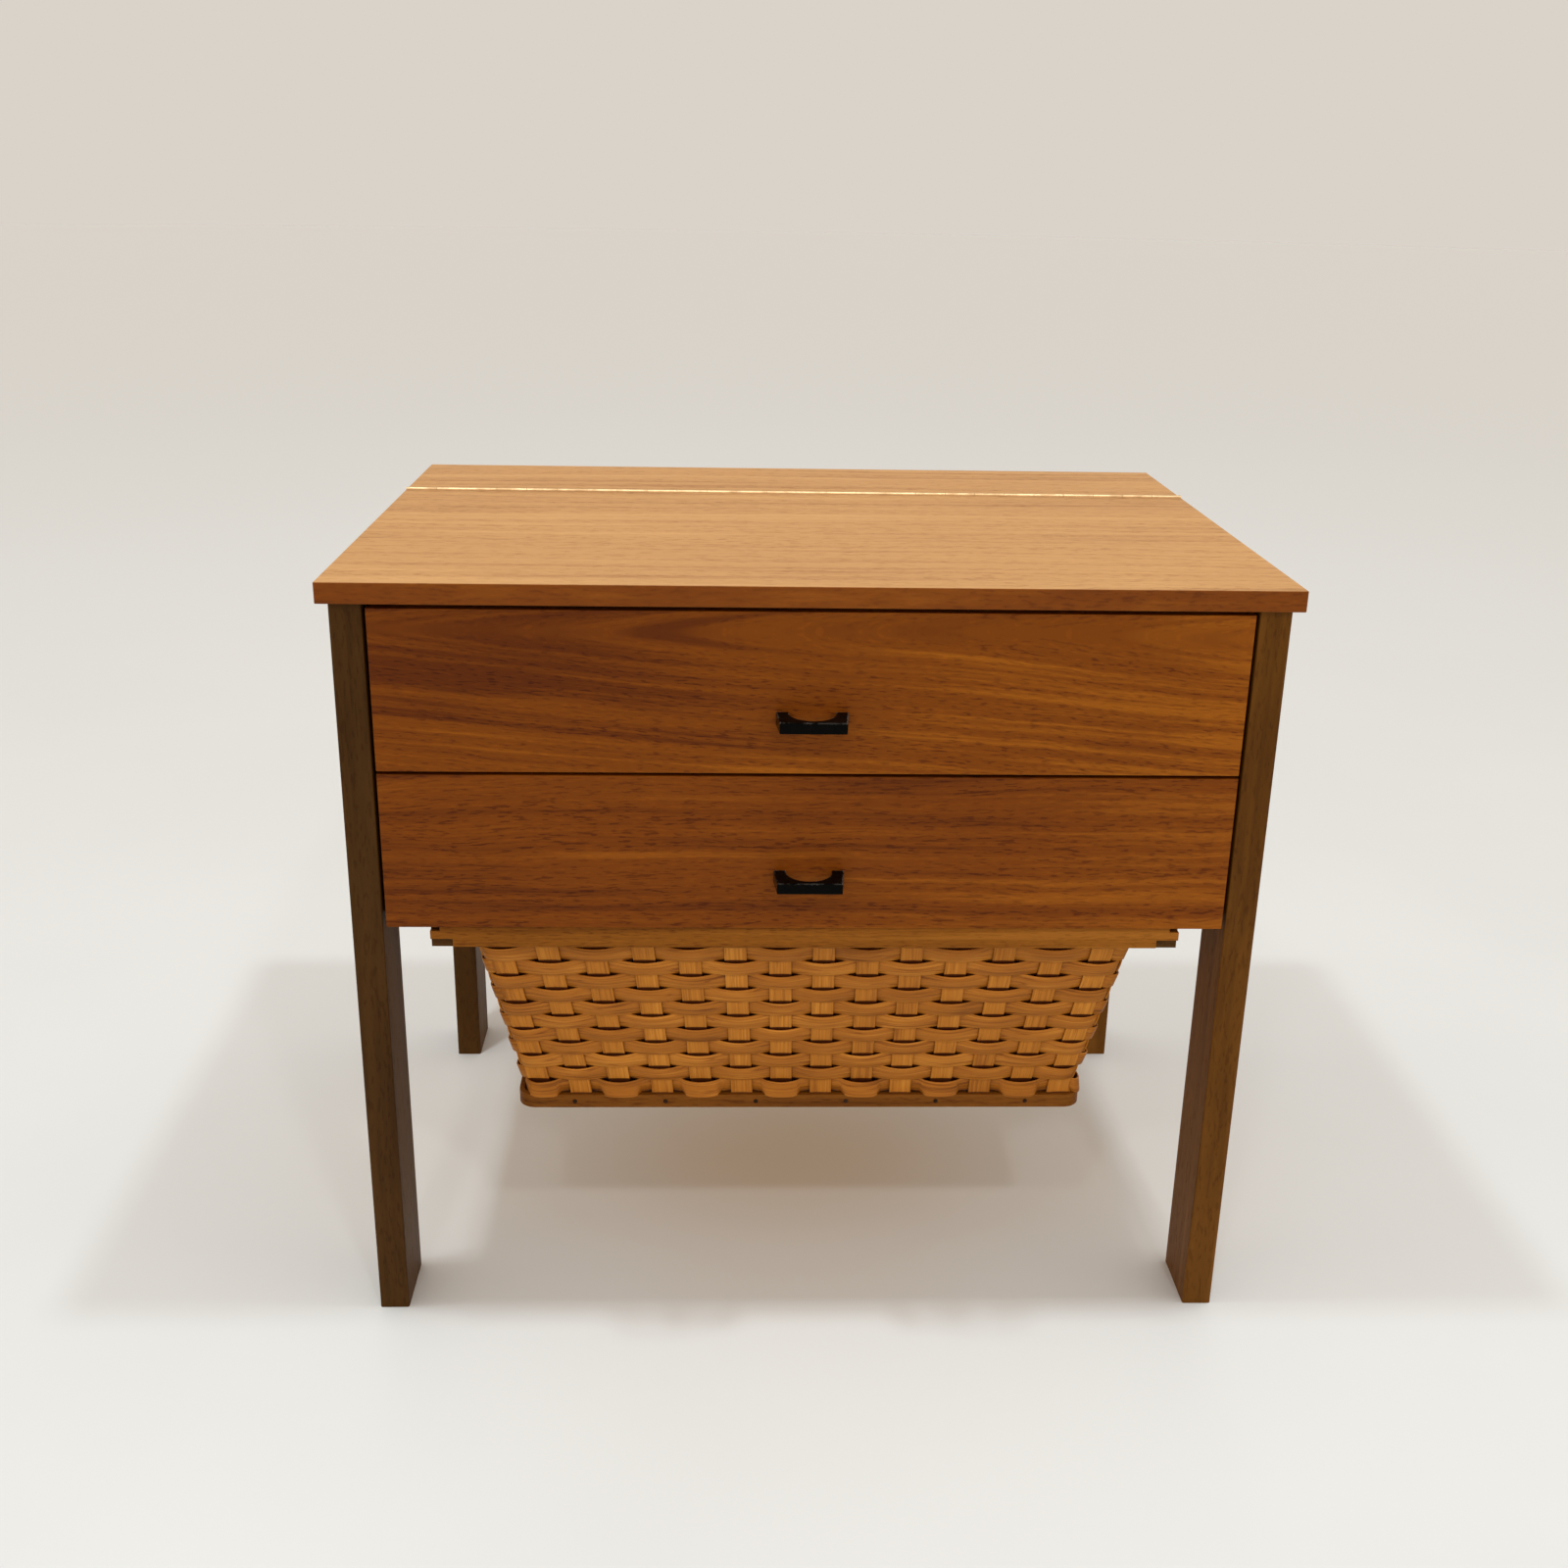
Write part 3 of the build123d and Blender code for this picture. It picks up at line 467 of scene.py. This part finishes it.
def black_lacquer(name):
    """Stove-black moulded handle, with a painted highlight on its upward-facing edges."""
    gloss = 0.12
    s = Shader(name, gloss, 0.04)
    place = s.place.outputs["Object"]
    dust = s.span(s.noise(place, 260.0, 4.0, 0.65), 0.45, 0.75)
    eased = s.rounded(0.9 * MM)
    upward = s.span(s.split(eased)["Z"], 0.15, 0.50)
    # Broken pale line on upward-facing eased edges: a painted highlight of the light from above.
    edge_highlight = s.math("MULTIPLY", s.arris(eased), s.span(s.noise(place, 160.0), 0.40, 0.58))
    colour = s.mix(dust, (0.0008, 0.0008, 0.0008), (0.0022, 0.0020, 0.0018))
    colour = s.mix(s.math("MULTIPLY", edge_highlight, upward), colour, (0.62, 0.58, 0.52))
    relief = s.bump(s.noise(place, 1300.0, 1.0), 0.02 * MM, 0.3, eased)
    return s.finish(colour, relief, s.math("ADD", gloss, s.math("MULTIPLY", dust, 0.16)))


# Finishes ----------------------------------------------------------------------------------------

FRONT_TONES = ((0.100, 0.022, 0.0005), (0.185, 0.050, 0.0012), (0.290, 0.092, 0.0040))
LOWER_TONES = ((0.105, 0.024, 0.0005), (0.175, 0.046, 0.0012), (0.260, 0.080, 0.0040))
# Lighter tones for the top's upward faces: painted light, for the light and sheen on the top.
LIT_TOP_TONES = ((0.325, 0.158, 0.057), (0.410, 0.219, 0.083), (0.468, 0.260, 0.103))
LEG_TONES = ((0.040, 0.017, 0.0030), (0.065, 0.029, 0.0055), (0.090, 0.043, 0.0090))
# Lighter tones for the right-hand legs: painted light, as more light falls on them.
RIGHT_LEG_LIT_TONES = ((0.078, 0.030, 0.0030), (0.127, 0.051, 0.0060), (0.175, 0.075, 0.0110))
BEECH_TONES = ((0.50, 0.31, 0.16), (0.60, 0.39, 0.21), (0.68, 0.46, 0.26))
HONEY_TONES = ((0.150, 0.050, 0.0040), (0.225, 0.080, 0.0075), (0.310, 0.120, 0.0150))
BAND_TONES = ((0.100, 0.033, 0.0030), (0.165, 0.058, 0.0060), (0.230, 0.088, 0.0100))
WEAVER_TONES = ((0.200, 0.066, 0.0060), (0.360, 0.130, 0.0130), (0.510, 0.210, 0.0270))
STAKE_TONES = ((0.280, 0.095, 0.0080), (0.430, 0.165, 0.0160), (0.560, 0.240, 0.0320))

LACQUER = (0.42, 0.075)
SATIN = (0.50, 0.25)
WAXED = (0.40, 0.15)
UPPER_ARCH = (0.530, 0.010, 0.075)
# Painted light on the fronts: lighter towards the lower right, where more light falls.
UPPER_LIGHT_SLOPE = (0.20, -0.75, 0.488)
LOWER_LIGHT_SLOPE = (0.10, -0.40, 0.373)

# Boards: the material's name, grain, tones, shift, wave, pores, and what else is its own
BOARDS = {
    "upper_front": (
        "teak_upper_front", "X", FRONT_TONES, 0.0, 0.016, 0.75,
        {"arch": UPPER_ARCH, "drift": UPPER_LIGHT_SLOPE},
    ),
    "lower_front": ("teak_lower_front", "X", LOWER_TONES, 3.1, 0.022, 0.70, {"drift": LOWER_LIGHT_SLOPE}),
    "top": (
        "teak_top", "XY", LOWER_TONES, 7.3, 0.030, 0.40,
        {"finish": WAXED, "lit_top_tones": LIT_TOP_TONES},
    ),
    "side": ("teak_side", "Y", FRONT_TONES, 11.7, 0.026, 0.60, {}),
    "back": ("teak_back", "X", LOWER_TONES, 17.9, 0.030, 0.60, {"finish": SATIN}),
    "leg": ("leg_lacquer", "Z", LEG_TONES, 5.3, 0.016, 0.35, {"finish": LACQUER}),
    "leg_right_lit": ("leg_lacquer_right_lit", "Z", RIGHT_LEG_LIT_TONES, 1.9, 0.016, 0.35, {"finish": LACQUER}),
    # The runners take the dark leg tones for the shade they sit in under the carcass: painted shade.
    "runner": ("runner_lacquer_painted_shade", "Y", LEG_TONES, 6.1, 0.016, 0.35, {"finish": LACQUER}),
    "beech_x": ("beech_across", "X", BEECH_TONES, 2.2, 0.012, 0.25, {"finish": SATIN}),
    "beech_y": ("beech_deep", "Y", BEECH_TONES, 4.6, 0.012, 0.25, {"finish": SATIN}),
    "honey_x": ("honey_across", "X", HONEY_TONES, 6.4, 0.010, 0.60, {"finish": LACQUER}),
    "honey_y": ("honey_deep", "Y", HONEY_TONES, 8.8, 0.010, 0.60, {"finish": LACQUER}),
    "band": ("band_bent", "X", BAND_TONES, 9.9, 0.006, 0.60, {"finish": LACQUER}),
}


def finishes():
    """Every material, by the name the painting lists use."""
    made = {}
    for key, (name, grain, tones, shift, wave, pores, own) in BOARDS.items():
        made[key] = wood(name, grain, tones, shift, wave, pores, **own)
    made["weaver"] = splint("splint_weaver", WEAVER_TONES, 0.70)
    made["stake"] = splint("splint_stake", STAKE_TONES, 0.42)
    made["brass"] = metal("brass_hinge", (0.74, 0.53, 0.30), (0.60, 0.41, 0.22), 0.46)
    made["steel"] = metal("steel_screws", (0.55, 0.54, 0.52), (0.30, 0.28, 0.26), 0.32)
    made["nail"] = metal("nail_iron", (0.050, 0.028, 0.018), (0.030, 0.017, 0.011), 0.6)
    made["black"] = black_lacquer("handle_black_lacquer")
    return made


PAINTED = {
    "upper_front": ["upper_drawer_front"],
    "lower_front": ["lower_drawer_front"],
    "top": ["lid_panel", "top_rear_strip"],
    "side": ["side_panel_left", "side_panel_right"],
    "back": ["back_panel"],
    "leg": ["leg_front_left", "leg_rear_left"],
    # The right-hand legs take the lighter copy of the leg lacquer: painted light.
    "leg_right_lit": ["leg_front_right", "leg_rear_right"],
    "runner": ["basket_runner_left", "basket_runner_right"],
    "black": ["upper_handle", "lower_handle"],
    "honey_x": ["basket_front_bar", "basket_rear_bar", "basket_rim", "basket_base_board"],
    "honey_y": ["basket_side_bar_left", "basket_side_bar_right"],
    "band": ["basket_base_band"],
    "nail": ["basket_nails"],
    "brass": [
        "hinge_leaf_fixed", "hinge_leaf_lid", "hinge_pin", "hinge_screws_fixed", "hinge_screws_lid",
        "stay_quadrant", "stay_pin", "stay_screws",
    ],
    "steel": [
        "leg_bolts", "drawer_runner_screws", "basket_runner_screws", "top_strip_screws",
        "upper_handle_screws", "lower_handle_screws",
    ],
    "beech_x": [
        "carcass_bottom", "top_front_rail", "middle_rail", "top_rear_rail", "rail_dowels",
        "upper_drawer_back", "upper_drawer_bottom", "upper_drawer_dividers", "thread_rack",
        "lower_drawer_back", "lower_drawer_bottom",
    ],
    "beech_y": [
        "upper_runner_left", "upper_runner_right", "lower_runner_left", "lower_runner_right",
        "upper_drawer_side_left", "upper_drawer_side_right", "upper_drawer_dowels",
        "lower_drawer_side_left", "lower_drawer_side_right", "lower_drawer_dowels",
    ],
}


def paint(materials):
    """Gives every CAD node its material."""
    for finish, names in PAINTED.items():
        for name in names:
            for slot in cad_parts[name].material_slots:
                slot.material = materials[finish]


# Basket weave ------------------------------------------------------------------------------------


def ramp(value, reach):
    """0 below 0, 1 above reach, and straight between them."""
    return np.clip(value / reach, 0.0, 1.0)


class Wall:
    """The middle surface of the basket's wall: a rounded oblong that narrows to an upright foot."""

    def __init__(self):
        low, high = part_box("basket_weave")
        self.bottom = low.z
        self.top = high.z
        self.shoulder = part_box("basket_side_bar_left")[0].z
        self.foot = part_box("basket_base_band")[1].z
        self.middle = np.array([0.0, (low.y + high.y) / 2])
        self.half_width = (high.x - low.x) / 2 - WEAVE_DEPTH
        self.half_depth = (high.y - low.y) / 2 - WEAVE_DEPTH
        self.jitter = [random.uniform(-STAKE_JITTER, STAKE_JITTER) for _ in range(STAKES)]

    def sizes(self, z):
        """Half width, half depth and corner radius at height z."""
        drop = np.clip(self.shoulder - z, 0.0, self.shoulder - self.foot)
        share = drop / (self.shoulder - self.foot)
        corner = TOP_CORNER + (BOTTOM_CORNER - TOP_CORNER) * share - WEAVE_DEPTH
        return self.half_width - WALL_SLOPE * drop, self.half_depth - WALL_SLOPE * drop, corner

    def quarter(self, z):
        """Distance round the wall from the middle of the front to the middle of a side."""
        width, depth, corner = self.sizes(z)
        return width - corner + depth - corner + math.pi / 2 * corner

    def drift(self, turn, z):
        """How far a stake stands off its even place, by chance and by the lean."""
        drift = np.interp(turn, range(STAKES + 1), self.jitter + self.jitter[:1])
        rise = (z - self.foot) / (self.shoulder - self.foot)
        return drift - rise * LEAN_REACH * np.exp(-(((turn - LEAN_STAKE) / LEAN_SPREAD) ** 2))

    def around(self, turn, z):
        """Distance round the wall to the stake number turn, from the middle of the front."""
        lap, turn = np.divmod(turn, STAKES)
        half_turn, in_half = np.divmod(turn, STAKES // 2)
        whole_halves = (half_turn + 2 * lap) * 2 * self.quarter(z)
        return self.half_around(in_half, z) + self.drift(turn, z) + whole_halves

    def half_around(self, turn, z):
        """The same for evenly placed stakes, over the front and the side that follows it."""
        quarter = self.quarter(z)
        front = FRONT_SPACING[0] + FRONT_SPACING[1] * (z - SPACING_LEVEL)
        side = SIDE_SPACING[0] + SIDE_SPACING[1] * (z - SPACING_LEVEL)
        on_front = (turn - (FRONT_STAKES - 1) / 2) * front
        first_side = quarter - (SIDE_STAKES - 1) / 2 * side
        last_front = (FRONT_STAKES - 1) / 2 * front
        next_front = 2 * quarter - last_front
        last_side = quarter + (SIDE_STAKES - 1) / 2 * side
        past_front = turn - (FRONT_STAKES - 1)
        past_side = turn - (STAKES // 2 - 1)
        on_corner = last_front + past_front * (first_side - last_front)
        on_side = first_side + (past_front - 1) * side
        on_end = last_side + past_side * (next_front - last_side)
        place = np.where(past_front <= 1, on_corner, on_side)
        place = np.where(past_front <= 0, on_front, place)
        return np.where(past_side > 0, on_end, place)

    def at(self, distance, z, out):
        """Points at a distance round the wall, at height z, out from its middle surface."""
        width, depth, corner = self.sizes(z)
        flat = width - corner
        bend = math.pi / 2 * corner
        quarter = self.quarter(z)
        number, rest = np.divmod(distance, quarter)
        number = number.astype(int) % 4
        back = number % 2 == 1
        rest = np.where(back, quarter - rest, rest)
        angle = np.clip((rest - flat) / corner, 0.0, math.pi / 2)
        x = np.minimum(rest, flat) + corner * np.sin(angle)
        y = -depth + corner * (1 - np.cos(angle)) + np.maximum(rest - flat - bend, 0.0)
        across, deep = np.sin(angle), -np.cos(angle)
        y, deep = np.where(back, -y, y), np.where(back, -deep, deep)
        flip = np.where(number >= 2, -1.0, 1.0)
        sloping = self.slope(z)
        level = 1 / np.sqrt(1 + sloping * sloping)
        x = flip * (x + across * level * out) + self.middle[0]
        y = flip * (y + deep * level * out) + self.middle[1]
        return np.stack([x, y, z - sloping * level * out], axis=-1)

    def slope(self, z):
        """How fast the wall widens upwards, eased at the shoulder and the foot."""
        return WALL_SLOPE * ramp(self.shoulder - z, WALL_EASE) * ramp(z - self.foot, WALL_EASE)


def strip_profile(width, thickness, spans=1):
    """A strip's section: a flat oblong with eased edges, as (across, out) pairs.
    spans is how many steps its flat sides have."""
    w, t = width / 2, thickness / 2
    flat = [(x, -t) for x in np.linspace(-w + STRIP_EASE, w - STRIP_EASE, spans + 1)]
    half = [(-w, -t + STRIP_EASE), *flat, (w, -t + STRIP_EASE)]
    return np.array(half + [(-x, -y) for x, y in half])


def strip_faces(rings, sides):
    """The faces of a closed strip, from its rings of points."""
    faces = []
    for i in range(rings - 1):
        for j in range(sides):
            k = (j + 1) % sides
            ring, following = i * sides, (i + 1) * sides
            faces.append((ring + j, ring + k, following + k, following + j))
    faces.append(tuple(range(sides - 1, -1, -1)))
    faces.append(tuple((rings - 1) * sides + j for j in range(sides)))
    return faces


def laps(turn, z, on_stake):
    """Where the points lie in the weave: turn in stakes, level in rows, and 1 on a stake."""
    level = (FIRST_ROW - z) / ROW_PITCH + 1
    return np.stack([turn + 0 * z, level + 0 * turn, on_stake + 0 * z], axis=-1)


def weaver_level(row):
    """The height of a weaver's middle line."""
    if row == 0:
        return FIRST_ROW + (WEAVER_HEIGHT + TOP_WEAVER_HEIGHT) / 2 + TOP_WEAVER_GAP
    return FIRST_ROW - ROW_PITCH * (row - 1)


def weaver_turns(row):
    """A weaver's steps round the wall, once and one stake more. The joints of the rows are spread."""
    start = FIRST_JOINT + 2 * (row % 5)
    return start + np.arange(0, (STAKES + 1) * STEPS_PER_STAKE + 1) / STEPS_PER_STAKE


def weaver_wobble(turn, row):
    """How far a weaver strays up and down."""
    return sum(size * np.sin(turn * pace + row * step) for size, pace, step in WOBBLES)


def weaver(wall, row):
    """One level strip: its points, faces, strip places and laps. Odd rows pass outside even stakes."""
    height, swing = WEAVER_HEIGHT, WEAVER_SWING
    if row == 0:
        height, swing = TOP_WEAVER_HEIGHT, TOP_WEAVER_SWING
    swing = swing * random.uniform(*SWING_RANGE)
    uneven = random.uniform(*UNEVEN_RANGE)
    turns = weaver_turns(row)
    profile = strip_profile(height, WEAVER_THICKNESS)
    turn = turns[:, None] + 0 * profile[None, :, 0]
    across = profile[None, :, 0] + weaver_wobble(turn, row)
    out = profile[None, :, 1] + 0 * turn
    wave = np.cos(math.pi * turn + (0.0 if row % 2 else math.pi))
    joint = ramp(turn - turns[-1] + 1.0, JOINT_EASE) * WEAVER_THICKNESS
    swing = swing * (1 + uneven * np.sin(turn * UNEVEN_PACE))
    offset = swing * wave + out - joint * np.sign(wave)
    level = weaver_level(row)
    rise, offset = weaver_bend(row, wave, profile[None, :, 0] > 0, offset, out)
    z = level + across + rise
    points = wall.at(wall.around(turn, z), z, offset)
    along = wall.around(turn, level + 0 * z)
    places = np.stack([along, across, 0 * turn + row * WEAVER_NUMBERS], axis=-1)
    return points, strip_faces(len(turns), len(profile)), places, laps(turn, z, 0.0)


def weaver_bend(row, wave, upper, offset, out):
    """How much a weaver's points move up, and how far out they then stand. The edges dip, tuck and
    rise where it crosses in front or behind, and the last row laps over the base band."""
    crest = np.maximum(wave, 0.0)
    inside = np.maximum(-wave, 0.0) ** 0.8
    rise = -WEAVER_TUCK * inside * ~upper
    if row == 0:
        rise = rise + RIM_LAP * upper
    else:
        rise = rise + (WEAVER_RISE * inside - WEAVER_DIP * crest ** 0.8) * upper
        offset = offset + WEAVER_TILT * crest * np.where(upper, 1.0, -0.4)
    if row == ROWS:
        rise = rise - BAND_LAP * crest ** 0.8 * ~upper
        over_band = BAND_REACH * np.minimum(crest / BAND_RAMP, 1.0) ** 0.5 + out
        offset = offset + BAND_STEP * crest ** 0.2 * upper
        offset = np.where(~upper & (crest > 0), np.maximum(offset, over_band), offset)
    return rise, offset


def stake(wall, number):
    """One upright strip from the foot to under the rim, bowed out between the weavers and, at its
    foot, towards the base band."""
    profile = strip_profile(STAKE_WIDTH, STAKE_THICKNESS)
    levels = np.arange(wall.bottom + STAKE_BELOW, wall.top - STAKE_ABOVE, STAKE_STEP)
    z = levels[:, None] + 0 * profile[None, :, 0]
    across, out = profile[None, :, 0] + 0 * z, profile[None, :, 1] + 0 * z
    row = (FIRST_ROW - z) / ROW_PITCH + 1
    sway = STAKE_SWAY * (-1) ** number * np.cos(math.pi * row)
    sway = sway * ramp(wall.top - SWAY_END - z, SWAY_EASE) * ramp(z - wall.foot, SWAY_EASE)
    foot = STAKE_FOOT * ramp(wall.foot + FOOT_TOP - z, FOOT_EASE) ** 1.5
    distance = wall.around(float(number) + 0 * z, z) + across
    points = wall.at(distance, z, sway + foot + out)
    step, first = STAKE_NUMBERS
    places = np.stack([z, across, 0 * z + number * step + first], axis=-1)
    turn = number + across / SIDE_SPACING[0]
    return points, strip_faces(len(levels), len(profile)), places, laps(turn, z, 1.0)


def post(wall, number):
    """A strip bent round a corner inside the weave, behind the gap between two stakes."""
    profile = strip_profile(POST_WIDTH, POST_THICKNESS, POST_SPANS)
    board_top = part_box("basket_base_board")[1].z
    levels = np.arange(board_top + POST_CLEAR, wall.shoulder - POST_CLEAR, POST_STEP)
    z = levels[:, None] + 0 * profile[None, :, 0]
    across, out = profile[None, :, 0] + 0 * z, profile[None, :, 1] - POST_INSET + 0 * z
    width, _, corner = wall.sizes(z)
    half = 2 * wall.quarter(z)
    bend = width - corner + math.pi / 4 * corner
    middle = (bend, half - bend, half + bend, 2 * half - bend)[number]
    points = wall.at(middle + across, z, out)
    step, first = POST_NUMBERS
    places = np.stack([z, across, 0 * z + number * step + first], axis=-1)
    return points, strip_faces(len(levels), len(profile)), places, laps(0.5, z, 1.0)


def strips_object(name, strips, material):
    """One object from several strips, with their places and laps as attributes."""
    faces, count = [], 0
    for strip in strips:
        faces += [tuple(i + count for i in face) for face in strip[1]]
        count += strip[0].reshape(-1, 3).shape[0]
    points, places, lap_places = (
        np.concatenate([strip[part].reshape(-1, 3) for strip in strips]) for part in (0, 2, 3)
    )
    mesh = bpy.data.meshes.new(name)
    mesh.from_pydata(points.tolist(), [], faces)
    for key, values in (("strip", places), ("lap", lap_places)):
        attribute = mesh.attributes.new(key, "FLOAT_VECTOR", "POINT")
        attribute.data.foreach_set("vector", values.astype(np.float32).ravel())
    mesh.shade_smooth()
    mesh.set_sharp_from_angle(angle=math.radians(SHARP_ANGLE))
    mesh.materials.append(material)
    made = bpy.data.objects.new(name, mesh)
    bpy.context.scene.collection.objects.link(made)
    return made


def weave(materials):
    """The woven wall, which stands for the CAD's plain one."""
    wall = Wall()
    weavers = [weaver(wall, row) for row in range(ROWS + 1)]
    stakes = [stake(wall, number) for number in range(STAKES)]
    stakes += [post(wall, number) for number in range(4)]
    for made in (
        strips_object("basket_weavers", weavers, materials["weaver"]),
        strips_object("basket_stakes", stakes, materials["stake"]),
    ):
        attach(made, "basket")
        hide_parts("basket_weave")


# Studio ------------------------------------------------------------------------------------------


def floor_material():
    """Plain and pale, a little cloudy, and lighter far away."""
    s = Shader("floor_pale", 0.55, 0.3)
    place = s.place.outputs["Object"]
    near = s.mix(s.span(s.noise(place, 1.6, 4.0), 0.35, 0.65), *FLOOR_TONES)
    reach = s.node("ShaderNodeVectorMath", {0: place}, operation="LENGTH").outputs["Value"]
    colour = s.mix(s.span(reach, *FAR_FLOOR), near, FAR_FLOOR_TONE)
    return s.finish(colour, s.bump(s.noise(place, 60.0, 3.0), 0.4 * MM, 0.25))


def make_floor():
    bpy.ops.mesh.primitive_circle_add(vertices=96, radius=FLOOR_RADIUS, fill_type="NGON")
    floor = bpy.context.object
    floor.name = "studio_floor"
    floor.data.materials.append(floor_material())


def make_lamp(name, place, size, power, colour):
    data = bpy.data.lights.new(name, "AREA")
    data.shape = "DISK"
    data.size = size
    data.energy = power
    data.color = colour
    lamp = bpy.data.objects.new(name, data)
    lamp.location = place
    lamp.rotation_euler = (LAMP_TARGET - Vector(place)).to_track_quat("-Z", "Y").to_euler()
    bpy.context.scene.collection.objects.link(lamp)


def make_world():
    """Soft light from all round: neutral at the horizon, a warm belt above it and a neutral ceiling,
    and stronger from the left and the right by SIDE_LIGHT. The background itself is plain."""
    world = bpy.data.worlds.new("studio")
    world.use_nodes = True
    nodes, links = world.node_tree.nodes, world.node_tree.links
    direction = nodes.new("ShaderNodeTexCoord")
    axes = nodes.new("ShaderNodeSeparateXYZ")
    links.new(direction.outputs["Generated"], axes.inputs["Vector"])
    light = nodes["Background"]
    links.new(sky_colour(nodes, links, axes.outputs["Z"]), light.inputs["Color"])
    links.new(sky_strength(nodes, links, axes.outputs["X"]), light.inputs["Strength"])
    plain = nodes.new("ShaderNodeBackground")
    plain.inputs["Color"].default_value = (*HORIZON_LIGHT, 1.0)
    path = nodes.new("ShaderNodeLightPath")
    shown = nodes.new("ShaderNodeMixShader")
    links.new(path.outputs["Is Camera Ray"], shown.inputs["Fac"])
    links.new(light.outputs["Background"], shown.inputs[1])
    links.new(plain.outputs["Background"], shown.inputs[2])
    links.new(shown.outputs["Shader"], nodes["World Output"].inputs["Surface"])
    bpy.context.scene.world = world


def sky_colour(nodes, links, rise):
    """The colour of the soft light at a height."""
    sky = nodes.new("ShaderNodeValToRGB")
    stops = sky.color_ramp.elements
    while len(stops) < len(SKY):
        stops.new(1.0)
    for stop, (position, colour) in zip(stops, SKY):
        stop.position = position
        stop.color = (*colour, 1.0)
    links.new(rise, sky.inputs["Fac"])
    return sky.outputs["Color"]


def sky_strength(nodes, links, sideways):
    """1, and more towards the left and the right."""
    focus = nodes.new("ShaderNodeMath")
    focus.operation = "POWER"
    focus.inputs[1].default_value = SIDE_FOCUS
    strength = nodes.new("ShaderNodeMath")
    strength.operation = "MULTIPLY_ADD"
    strength.inputs[1].default_value = SIDE_LIGHT
    strength.inputs[2].default_value = 1.0
    links.new(sideways, focus.inputs[0])
    links.new(focus.outputs["Value"], strength.inputs[0])
    return strength.outputs["Value"]


def make_camera():
    yaw, pitch, roll = (math.radians(a) for a in (CAMERA_YAW, CAMERA_PITCH, CAMERA_ROLL))
    reach = math.cos(pitch)
    ahead = Vector((math.sin(yaw) * reach, math.cos(yaw) * reach, -math.sin(pitch)))
    level = Vector((math.cos(yaw), -math.sin(yaw), 0.0))
    below = ahead.cross(level)
    right = level * math.cos(roll) + below * math.sin(roll)
    up = level * math.sin(roll) - below * math.cos(roll)
    camera = bpy.data.objects.new("camera", bpy.data.cameras.new("camera"))
    camera.data.lens = LENS
    turn = Matrix((right, up, -ahead)).transposed().to_4x4()
    camera.matrix_world = Matrix.Translation(CAMERA_PLACE) @ turn
    bpy.context.scene.collection.objects.link(camera)
    bpy.context.scene.camera = camera


def make_studio():
    make_camera()
    make_floor()
    make_world()
    for name, lamp in LAMPS.items():
        make_lamp(name, *lamp)
    bpy.context.scene.view_settings.view_transform = "Standard"


make_studio()
materials = finishes()
paint(materials)
weave(materials)
